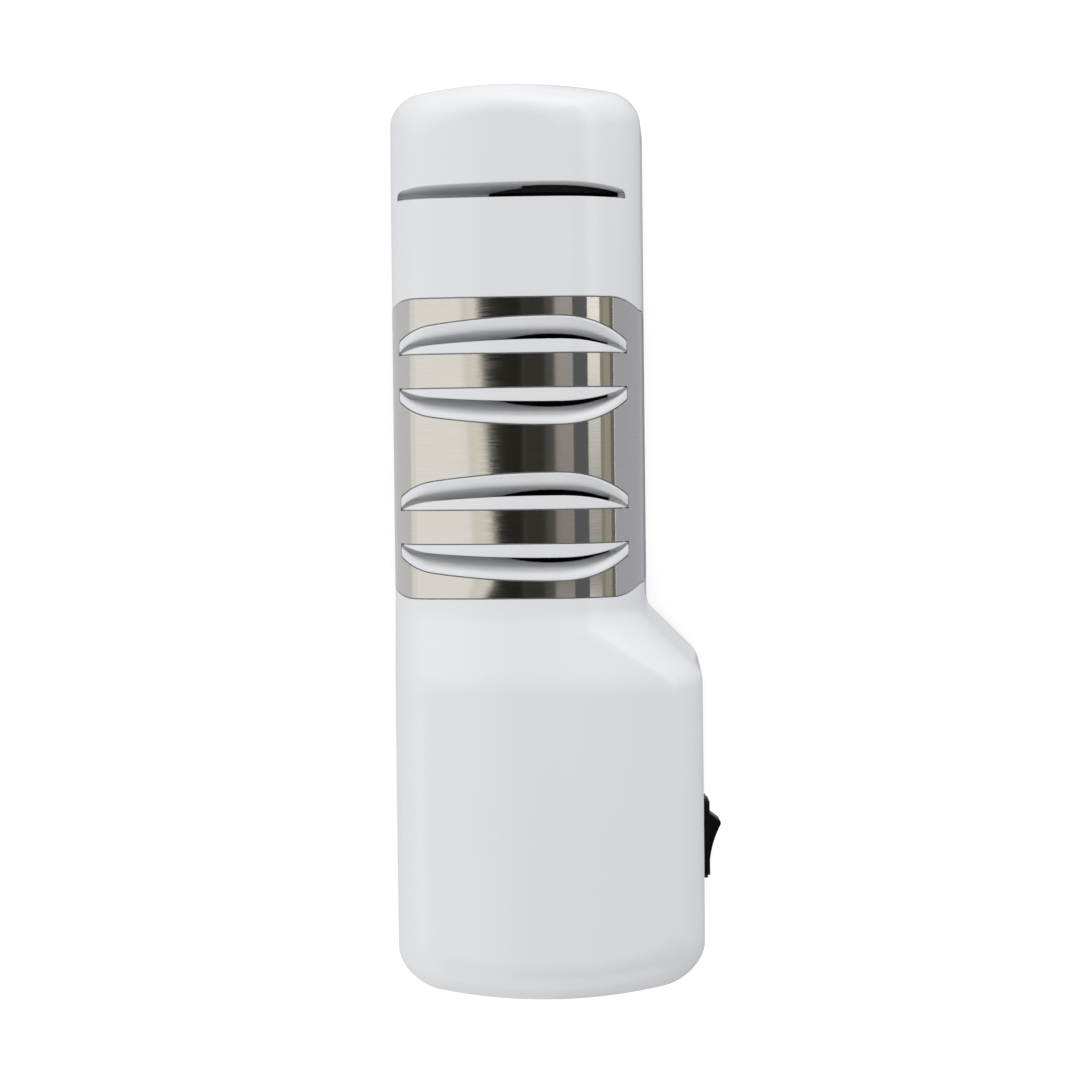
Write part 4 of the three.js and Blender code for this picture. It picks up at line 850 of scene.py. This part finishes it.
def rounded_copy(node, width):
    """A copy of a CAD node with its sharp edges rounded, to stand for that node."""
    source = frame["nodes"][node]
    piece = node_copy(node, f"{node}_rounded")
    bevel = piece.modifiers.new("bevel", "BEVEL")
    bevel.width = width
    bevel.segments = EDGE_STEPS
    bevel.limit_method = "ANGLE"
    bevel.angle_limit = EDGE_ANGLE
    bevel.harden_normals = False
    apply_modifiers(piece)
    smooth(piece)
    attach(piece, source["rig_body"])
    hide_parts(node)
    return piece


def spring_half(stage, side):
    """Half of a stage's spring, the part between its middle and the disc on its side."""
    node = f"{stage}_spring"
    centre = middle(node)
    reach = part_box(node)[1].x - centre.x
    piece = node_copy(node, f"{node}_{SIDE_NAMES[side]}")
    ends = sorted([centre.x, centre.x + side * 2 * reach])
    combine(piece, "INTERSECT", [shaft_cylinder(POCKET_RADIUS, *ends)])
    smooth(piece)
    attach(piece, "rotor")
    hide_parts(node)
    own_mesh(piece)
    return piece


# Materials, with scales in repeats per metre, and pairs for the low and the high end of a pattern

PATTERN_REACH = (0.25, 0.75)
COLOUR_REACH = (0.3, 0.7)
EDGE_SAMPLES = 6
PLASTIC_DRIFT_SCALE = 18
GLOSS_SHARES = (0.9, 1.1)
METAL_GLOSS_SHARES = (0.8, 1.2)

BRUSH_LINES = SimpleNamespace(stretch=(1, 0.03, 0.03), scale=3600, depth=0.000007, shares=(0.975, 1.015))
BRUSH_STREAKS = SimpleNamespace(stretch=(1, 0.04, 0.04), scale=2300, shares=(0.7, 1.5))
BRUSH_ANISOTROPY = 0.9
QUARTER_TURN = 0.25

# Scale at which a wave texture has one row per metre
ONE_ROW_SCALE = math.pi / 10
LAYERS = SimpleNamespace(gap_share=0.6, distortion=0.3, detail_scale=0.5, gloss_scale=700)
DUST = SimpleNamespace(scale=260, metallic=(0.1, 0.6), roughness=(0.9, 0.6), grain=2600, depth=0.00002)
GRIT = SimpleNamespace(scale=3200, depth=0.00006, roughness=0.85, speckle_scale=2600, shares=(0.5, 1.7))
RUBBER_SHARES = (0.85, 1.15)
NOISE_DETAIL = SimpleNamespace(soft=2, fine=3, rough=4)


def new_material(name, metallic=0):
    material = bpy.data.materials.new(name)
    material.use_nodes = True
    tree = material.node_tree
    shader = tree.nodes["Principled BSDF"]
    shader.inputs["Metallic"].default_value = metallic
    place = tree.nodes.new("ShaderNodeTexCoord").outputs["Object"]
    return material, tree, shader, place


def stretched(tree, place, scale):
    node = tree.nodes.new("ShaderNodeMapping")
    node.inputs["Scale"].default_value = scale
    tree.links.new(place, node.inputs["Vector"])
    return node.outputs["Vector"]


def noise(tree, place, scale, detail=NOISE_DETAIL.fine):
    node = tree.nodes.new("ShaderNodeTexNoise")
    node.inputs["Scale"].default_value = scale
    node.inputs["Detail"].default_value = detail
    tree.links.new(place, node.inputs["Vector"])
    return node.outputs["Fac"]


def map_range(tree, value, reach, result):
    """Maps a value from one reach to another."""
    node = tree.nodes.new("ShaderNodeMapRange")
    for socket, number in zip(("From Min", "From Max", "To Min", "To Max"), (*reach, *result)):
        node.inputs[socket].default_value = number
    tree.links.new(value, node.inputs["Value"])
    return node.outputs["Result"]


def blend_colours(tree, value, first, second):
    node = tree.nodes.new("ShaderNodeValToRGB")
    for stop, position, colour in zip(node.color_ramp.elements, COLOUR_REACH, (first, second)):
        stop.position = position
        stop.color = (*colour, 1)
    tree.links.new(value, node.inputs["Fac"])
    return node.outputs["Color"]


def bump(tree, shader, height, distance, edge_radius=0):
    """Fine relief from a pattern, and edges that look rounded by a radius."""
    node = tree.nodes.new("ShaderNodeBump")
    node.inputs["Distance"].default_value = distance
    node.inputs["Strength"].default_value = 1
    tree.links.new(height, node.inputs["Height"])
    if edge_radius:
        edge = tree.nodes.new("ShaderNodeBevel")
        edge.samples = EDGE_SAMPLES
        edge.inputs["Radius"].default_value = edge_radius
        tree.links.new(edge.outputs["Normal"], node.inputs["Normal"])
    tree.links.new(node.outputs["Normal"], shader.inputs["Normal"])


def shade(colour, share):
    return tuple(min(1, part * share) for part in colour)


def tint(tree, shader, value, colour, shares):
    """Lets the colour follow a pattern, between two shares of it."""
    colours = blend_colours(tree, value, *(shade(colour, share) for share in shares))
    tree.links.new(colours, shader.inputs["Base Color"])


def vary(tree, shader, value, socket, result):
    """Lets a socket of the shader follow a pattern."""
    tree.links.new(map_range(tree, value, PATTERN_REACH, result), shader.inputs[socket])


def roughen(tree, shader, value, roughness, shares=GLOSS_SHARES):
    """Lets the roughness follow a pattern, between two shares of it."""
    vary(tree, shader, value, "Roughness", [roughness * share for share in shares])


def moulded_plastic(name, colour, roughness, grain, depth, variation=0.02, edge_radius=0, specular=0.5):
    """Moulded plastic: a faint drift of colour and gloss, and a fine grain in the skin."""
    material, tree, shader, place = new_material(name)
    shader.inputs["Specular IOR Level"].default_value = specular
    drift = noise(tree, place, PLASTIC_DRIFT_SCALE, NOISE_DETAIL.soft)
    fine = noise(tree, place, grain)
    tint(tree, shader, drift, colour, (1 - variation, 1 + variation))
    roughen(tree, shader, fine, roughness)
    bump(tree, shader, fine, depth, edge_radius)
    return material


def brushed_steel(name, colour, roughness):
    """Sheet steel brushed across the body: fine lines that run round it, so highlights spread along it."""
    material, tree, shader, place = new_material(name, metallic=1)
    shader.inputs["Anisotropic"].default_value = BRUSH_ANISOTROPY
    shader.inputs["Anisotropic Rotation"].default_value = QUARTER_TURN
    tangent = tree.nodes.new("ShaderNodeTangent")
    tangent.direction_type = "RADIAL"
    tangent.axis = "X"
    tree.links.new(tangent.outputs["Tangent"], shader.inputs["Tangent"])
    lines = noise(tree, stretched(tree, place, BRUSH_LINES.stretch), BRUSH_LINES.scale)
    streaks = noise(tree, stretched(tree, place, BRUSH_STREAKS.stretch), BRUSH_STREAKS.scale)
    tint(tree, shader, lines, colour, BRUSH_LINES.shares)
    roughen(tree, shader, streaks, roughness, BRUSH_STREAKS.shares)
    bump(tree, shader, lines, BRUSH_LINES.depth)
    return material


def plain_metal(name, colour, roughness, grain=900, depth=0.000006, variation=0.08):
    """Plated, sintered or drawn metal: a fine uneven skin."""
    material, tree, shader, place = new_material(name, metallic=1)
    fine = noise(tree, place, grain, NOISE_DETAIL.rough)
    tint(tree, shader, fine, colour, (1 - variation, 1 + variation))
    roughen(tree, shader, fine, roughness, METAL_GLOSS_SHARES)
    bump(tree, shader, fine, depth)
    return material


def dust_and_shade_metal(name, colour, dust):
    """Metal under a dark film of grinding dust, thinner in patches. With the near-black colours it is given
    here, film and metal are painted shade as well.
    """
    material, tree, shader, place = new_material(name)
    patches = noise(tree, place, DUST.scale, NOISE_DETAIL.rough)
    tree.links.new(blend_colours(tree, patches, dust, colour), shader.inputs["Base Color"])
    vary(tree, shader, patches, "Metallic", DUST.metallic)
    vary(tree, shader, patches, "Roughness", DUST.roughness)
    bump(tree, shader, noise(tree, place, DUST.grain), DUST.depth)
    return material


def layered_metal(name, colour, roughness, pitch, direction, depth):
    """Stacked sheets or wound wire: rows of ridges at a pitch along one axis."""
    material, tree, shader, place = new_material(name, metallic=1)
    rows = tree.nodes.new("ShaderNodeTexWave")
    rows.bands_direction = direction
    rows.inputs["Scale"].default_value = ONE_ROW_SCALE / pitch
    rows.inputs["Distortion"].default_value = LAYERS.distortion
    rows.inputs["Detail Scale"].default_value = LAYERS.detail_scale
    tree.links.new(place, rows.inputs["Vector"])
    tint(tree, shader, rows.outputs["Fac"], colour, (LAYERS.gap_share, 1))
    gloss = noise(tree, place, LAYERS.gloss_scale, NOISE_DETAIL.soft)
    roughen(tree, shader, gloss, roughness, METAL_GLOSS_SHARES)
    bump(tree, shader, rows.outputs["Fac"], depth)
    return material


def bonded_grit(name, colour):
    """Abrasive: dark bond with paler grains."""
    material, tree, shader, place = new_material(name)
    grains = tree.nodes.new("ShaderNodeTexVoronoi")
    grains.inputs["Scale"].default_value = GRIT.scale
    tree.links.new(place, grains.inputs["Vector"])
    tint(tree, shader, noise(tree, place, GRIT.speckle_scale), colour, GRIT.shares)
    shader.inputs["Roughness"].default_value = GRIT.roughness
    bump(tree, shader, grains.outputs["Distance"], GRIT.depth)
    return material


def rubber(name, colour, roughness, grain, depth):
    """Moulded rubber: matt, with a fine grain."""
    material, tree, shader, place = new_material(name)
    fine = noise(tree, place, grain)
    tint(tree, shader, fine, colour, RUBBER_SHARES)
    roughen(tree, shader, fine, roughness)
    bump(tree, shader, fine, depth)
    return material


MATERIALS = {
    "white_plastic": (moulded_plastic, dict(
        colour=(0.78, 0.785, 0.805), roughness=0.2, grain=900, depth=0.0000008, variation=0.006,
        edge_radius=0.00045,
    )),
    "brushed_steel": (brushed_steel, dict(colour=(0.70, 0.69, 0.67), roughness=0.1)),
    "grey_plastic": (moulded_plastic, dict(
        colour=(0.48, 0.49, 0.51), roughness=0.5, grain=2400, depth=0.00003,
    )),
    "rubber": (rubber, dict(colour=(0.028, 0.028, 0.030), roughness=0.8, grain=1400, depth=0.00003)),
    "black_plastic": (moulded_plastic, dict(
        colour=(0.003, 0.003, 0.0035), roughness=0.35, grain=1600, depth=0.000006, variation=0.1,
        edge_radius=0.0002, specular=0.15,
    )),
    "nylon": (moulded_plastic, dict(colour=(0.76, 0.74, 0.66), roughness=0.45, grain=1100, depth=0.00001)),
    "zinc_steel": (plain_metal, dict(colour=(0.55, 0.57, 0.60), roughness=0.33)),
    "laminated_steel": (layered_metal, dict(
        colour=(0.32, 0.33, 0.35), roughness=0.45, pitch=0.0005, direction="X", depth=0.00004,
    )),
    "copper": (layered_metal, dict(
        colour=(0.62, 0.27, 0.12), roughness=0.3, pitch=0.0004, direction="Y", depth=0.0001,
    )),
    "bronze": (plain_metal, dict(colour=(0.50, 0.33, 0.13), roughness=0.42, grain=2200, depth=0.00002)),
    "spring_steel": (plain_metal, dict(colour=(0.60, 0.60, 0.60), roughness=0.22, grain=1500)),
    # Near-black abrasive: the discs' own dark grey, darkened further as painted shade, since they show only
    # inside the dark slots
    "abrasive": (bonded_grit, dict(colour=(0.014, 0.014, 0.0145))),
    # Dark steel for the parts seen through the slots: grinding dust, and painted shade, near-black so that
    # they look as dark as the shade inside the slots
    "dusty_steel": (dust_and_shade_metal, dict(colour=(0.035, 0.035, 0.036), dust=(0.006, 0.006, 0.006))),
}


# Dressing the frame

# Parts seen through the slots: their steel is painted near-black as shade, under grinding dust
DUST_AND_SHADE_NODES = [
    "drive_shaft",
    "honing_nut",
    *(f"{stage}_{part}" for stage in STAGE_NAMES for part in ("hub", "spring", "clip")),
]


def dress():
    """Gives each node its material, and builds the pieces that stand for nodes."""
    materials = {name: make(name, **look) for name, (make, look) in MATERIALS.items()}
    slots = {entry["node"]: entry["material_slot"] for entry in frame["record"]["subparts"]}
    for name, node in frame["nodes"].items():
        set_material(node, materials["dusty_steel" if name in DUST_AND_SHADE_NODES else slots[name]])

    skin = body_form("skin", 0, HOUSING_BOTTOM)
    for piece, node in ((housing_shell(), "upper_housing"), (band_sheet(), "steel_band")):
        follow_skin(piece, skin)
        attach(piece, "housing")
        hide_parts(node)
        set_piece_material(piece, materials, slots[node])
    bpy.data.objects.remove(skin)

    for node, width in EDGE_ROUNDS.items():
        set_piece_material(rounded_copy(node, width), materials, slots[node])
    for stage in STAGE_NAMES:
        for side in SIDES:
            piece = spring_half(stage, side)
            # The spring halves get the same steel, painted near-black as shade under grinding dust
            set_material(piece, materials["dusty_steel"])


def set_material(piece, material):
    piece.data.materials.clear()
    piece.data.materials.append(material)


def set_piece_material(piece, materials, slot):
    set_material(piece, materials[slot])


dress()


# Studio

LIGHT_COLOUR = (0.98, 0.99, 1.0, 1)
LIGHT_STRENGTH = 0.79
WHITE = (1, 1, 1, 1)

FLOOR_HALF = 3.0
FLOOR_COLOUR = (0.62, 0.62, 0.62, 1)
FLOOR_LIFT = 0.6

# Lamps, as a name, a place and a power in watts
LAMP_SIZE = (0.9, 0.4)
LAMPS = [("key_lamp", (1.17, -0.30, 0.34), 6.6), ("side_lamp", (-0.32, 1.17, 0.34), 3.5)]

CARD_RADIUS = 0.6
CARD_STEPS = 6

# Reflection cards round the shaft line, from the back over the top to the front. Each card runs from
# the edge before it. An edge has an angle from straight up towards the user in degrees, and a skew in
# degrees per metre along the body.
FIRST_CARD_ANGLE = -100
CARDS = [
    ("dim_back_card", -92, 0, (0.78, 0.775, 0.74)),
    ("shaded_back_card", -80, 0, (0.87, 0.86, 0.81)),
    ("warm_card", -21.9, -27, (0.97, 0.945, 0.895)),
    ("beige_card", -19.9, -30, (0.78, 0.74, 0.66)),
    ("pale_edge_card", -16.2, -40, (0.90, 0.85, 0.76)),
    ("black_card", -7.5, 0, (0.021, 0.020, 0.016)),
    ("seam_card", -6.7, 0, (0.06, 0.06, 0.055)),
    ("near_black_card", -1.2, 0, (0.042, 0.040, 0.034)),
    ("dusk_card", 1.6, 0, (0.088, 0.084, 0.078)),
    ("brown_card", 24, 0, (0.37, 0.335, 0.315)),
    ("dark_card", 50, 0, (0.125, 0.125, 0.13)),
    ("cream_card", 71, 0, (1.0, 0.975, 0.90)),
    ("seam_card_front", 77, 0, (0.30, 0.28, 0.23)),
    ("gold_card", 88, 0, (0.38, 0.355, 0.29)),
    ("edge_card_front", 94, 0, (0.17, 0.155, 0.12)),
]

# Cards that fade along the body: the strength at the motor end's side and at the far end's side
FADES = {"cream_card": (0.33, 1.15), "brown_card": (0.75, 1.2)}
FADE_REACH = (-0.01, 0.075)
SKEW_REACH = (-0.06, 0.10)
CARD_STATIONS = (-0.9, -0.06, 0.10, 0.9)

# Low cards beside the body, as a name, a side and a tone. Their grey is painted shade of the floor as the
# steel reflects it, darker at the front
LOW_CARD_HEIGHT = 0.002
LOW_CARD_REACH = 0.6
LOW_CARDS = [("front_low_card", -1, (0.455, 0.46, 0.495)), ("back_low_card", 1, (0.66, 0.66, 0.66))]

# A dark card under the body that reaches past it all round, painted shade of the floor near it as
# reflected, and a paler strip on it beside the shoulder wall
NEAR_CARD_HEIGHT = 0.0025
NEAR_CARD_MARGIN = 0.012
FLOOR_SHADE_TONE = (0.28, 0.28, 0.29)
SHOULDER_CARD_HEIGHT = 0.003
SHOULDER_CARD_TONE = (0.61, 0.615, 0.625)


def is_seen_directly(tree):
    """1 where a camera, glossy or transmission ray arrives, and 0 otherwise."""
    path = tree.nodes.new("ShaderNodeLightPath")
    total = path.outputs["Is Camera Ray"]
    for name in ("Is Glossy Ray", "Is Transmission Ray"):
        node = tree.nodes.new("ShaderNodeMath")
        node.operation = "MAXIMUM"
        tree.links.new(total, node.inputs[0])
        tree.links.new(path.outputs[name], node.inputs[1])
        total = node.outputs[0]
    return total


def set_world():
    """A plain grey light all round, which looks white itself."""
    world = bpy.data.worlds.new("studio")
    bpy.context.scene.world = world
    world.use_nodes = True
    tree = world.node_tree
    light = tree.nodes["Background"]
    light.inputs["Color"].default_value = LIGHT_COLOUR
    light.inputs["Strength"].default_value = LIGHT_STRENGTH
    white = tree.nodes.new("ShaderNodeBackground")
    white.inputs["Color"].default_value = WHITE
    white.inputs["Strength"].default_value = 1
    mix = tree.nodes.new("ShaderNodeMixShader")
    tree.links.new(is_seen_directly(tree), mix.inputs["Fac"])
    tree.links.new(light.outputs[0], mix.inputs[1])
    tree.links.new(white.outputs[0], mix.inputs[2])
    tree.links.new(mix.outputs[0], tree.nodes["World Output"].inputs["Surface"])


def bare_material(name):
    """A material whose surface is still open."""
    material = bpy.data.materials.new(name)
    material.use_nodes = True
    tree = material.node_tree
    tree.nodes.remove(tree.nodes["Principled BSDF"])
    return material, tree, tree.nodes["Material Output"].inputs["Surface"]


def studio_mesh(name, points, faces, material):
    mesh = bpy.data.meshes.new(name)
    mesh.from_pydata(points, [], faces)
    mesh.materials.append(material)
    return new_object(name, mesh)


def flat_mesh(name, corners, height, material):
    """One level face."""
    return studio_mesh(name, [(x, y, height) for x, y in corners], [tuple(range(len(corners)))], material)


def floor_material():
    """A matt grey that a camera sees as white, with the shadow left on it."""
    material, tree, surface = bare_material("floor")
    matt = tree.nodes.new("ShaderNodeBsdfDiffuse")
    matt.inputs["Color"].default_value = FLOOR_COLOUR
    glow = tree.nodes.new("ShaderNodeEmission")
    lift = tree.nodes.new("ShaderNodeMath")
    lift.operation = "MULTIPLY"
    lift.inputs[1].default_value = FLOOR_LIFT
    tree.links.new(is_seen_directly(tree), lift.inputs[0])
    tree.links.new(lift.outputs[0], glow.inputs["Strength"])
    both = tree.nodes.new("ShaderNodeAddShader")
    tree.links.new(matt.outputs[0], both.inputs[0])
    tree.links.new(glow.outputs[0], both.inputs[1])
    tree.links.new(both.outputs[0], surface)
    return material


def add_floor():
    corners = rectangle((-FLOOR_HALF, -FLOOR_HALF), (FLOOR_HALF, FLOOR_HALF))
    floor = flat_mesh("floor", corners, 0, floor_material())


def add_fade(tree, glow, strengths):
    """Lets a glow change along the body."""
    parts = tree.nodes.new("ShaderNodeSeparateXYZ")
    tree.links.new(tree.nodes.new("ShaderNodeTexCoord").outputs["Object"], parts.inputs[0])
    strength = map_range(tree, parts.outputs["X"], FADE_REACH, strengths)
    tree.links.new(strength, glow.inputs["Strength"])


def glow_material(name, tone):
    """A plain glow that lights nothing by itself and only shows in reflections."""
    material, tree, surface = bare_material(name)
    material.cycles.emission_sampling = "NONE"
    glow = tree.nodes.new("ShaderNodeEmission")
    glow.inputs["Color"].default_value = (*tone, 1)
    tree.links.new(glow.outputs[0], surface)
    if name in FADES:
        add_fade(tree, glow, FADES[name])
    return material


def stage_card(card):
    """Keeps a card out of everything but reflections."""
    card.visible_camera = False
    card.visible_diffuse = False
    card.visible_shadow = False
    card.visible_transmission = False


def card_point(angle, skew, x):
    """A point of the card tunnel, on an edge given by its angle and its skew."""
    turn = math.radians(angle + skew * max(SKEW_REACH[0], min(SKEW_REACH[1], x)))
    return Vector((x, SHAFT_Y - CARD_RADIUS * math.sin(turn), SHAFT_Z + CARD_RADIUS * math.cos(turn)))


def add_card_tunnel():
    """Cards along the body, from its back over the top to its front."""
    faces = grid_faces(CARD_STEPS + 1, len(CARD_STATIONS))
    before = (FIRST_CARD_ANGLE, 0)
    for name, angle, skew, tone in CARDS:
        points = []
        for i in range(CARD_STEPS + 1):
            share = i / CARD_STEPS
            edge = (between(before[0], angle, share), between(before[1], skew, share))
            points.extend(card_point(*edge, x) for x in CARD_STATIONS)
        stage_card(studio_mesh(name, points, faces, glow_material(name, tone)))
        before = (angle, skew)


def add_low_cards():
    """Wide cards just above the floor, at the front and at the back, painted shade of the floor that shows
    only in reflections.
    """
    for name, side, tone in LOW_CARDS:
        corners = rectangle((-LOW_CARD_REACH, SHAFT_Y), (LOW_CARD_REACH, side * LOW_CARD_REACH))
        stage_card(flat_mesh(name, corners, LOW_CARD_HEIGHT, glow_material(name, tone)))


def add_near_cards():
    """The dark card under the body, painted shade of the floor near it that shows only in reflections, and
    the paler strip on it beside the shoulder wall.
    """
    outline = wall_outline(-NEAR_CARD_MARGIN)
    foot = wall_outline(-DRAFT_GROWTH)
    under = [
        (outline.near, outline.back),
        (outline.near, outline.motor),
        outline.round,
        outline.hollow,
        (outline.far, outline.narrow),
        (outline.far, outline.back),
    ]
    strip = [foot.round, foot.hollow, outline.hollow, outline.round]
    for name, plan, height, tone in (
        ("floor_shade_card", under, NEAR_CARD_HEIGHT, FLOOR_SHADE_TONE),
        ("shoulder_card", strip, SHOULDER_CARD_HEIGHT, SHOULDER_CARD_TONE),
    ):
        corners = [(x, SHAFT_Y + y) for x, y in plan]
        stage_card(flat_mesh(name, corners, height, glow_material(name, tone)))


def add_lamp(name, place, watts):
    """A soft lamp that points at the middle of the body."""
    data = bpy.data.lights.new(name, "AREA")
    data.shape = "RECTANGLE"
    data.size, data.size_y = LAMP_SIZE
    data.energy = watts
    lamp = new_object(name, data)
    lamp.location = place
    aim = Vector((0, 0, SHAFT_Z)) - Vector(place)
    lamp.rotation_euler = aim.to_track_quat("-Z", "Y").to_euler()
    lamp.visible_glossy = False
    lamp.visible_camera = False


set_world()
add_floor()
add_card_tunnel()
add_low_cards()
add_near_cards()
for lamp in LAMPS:
    add_lamp(*lamp)
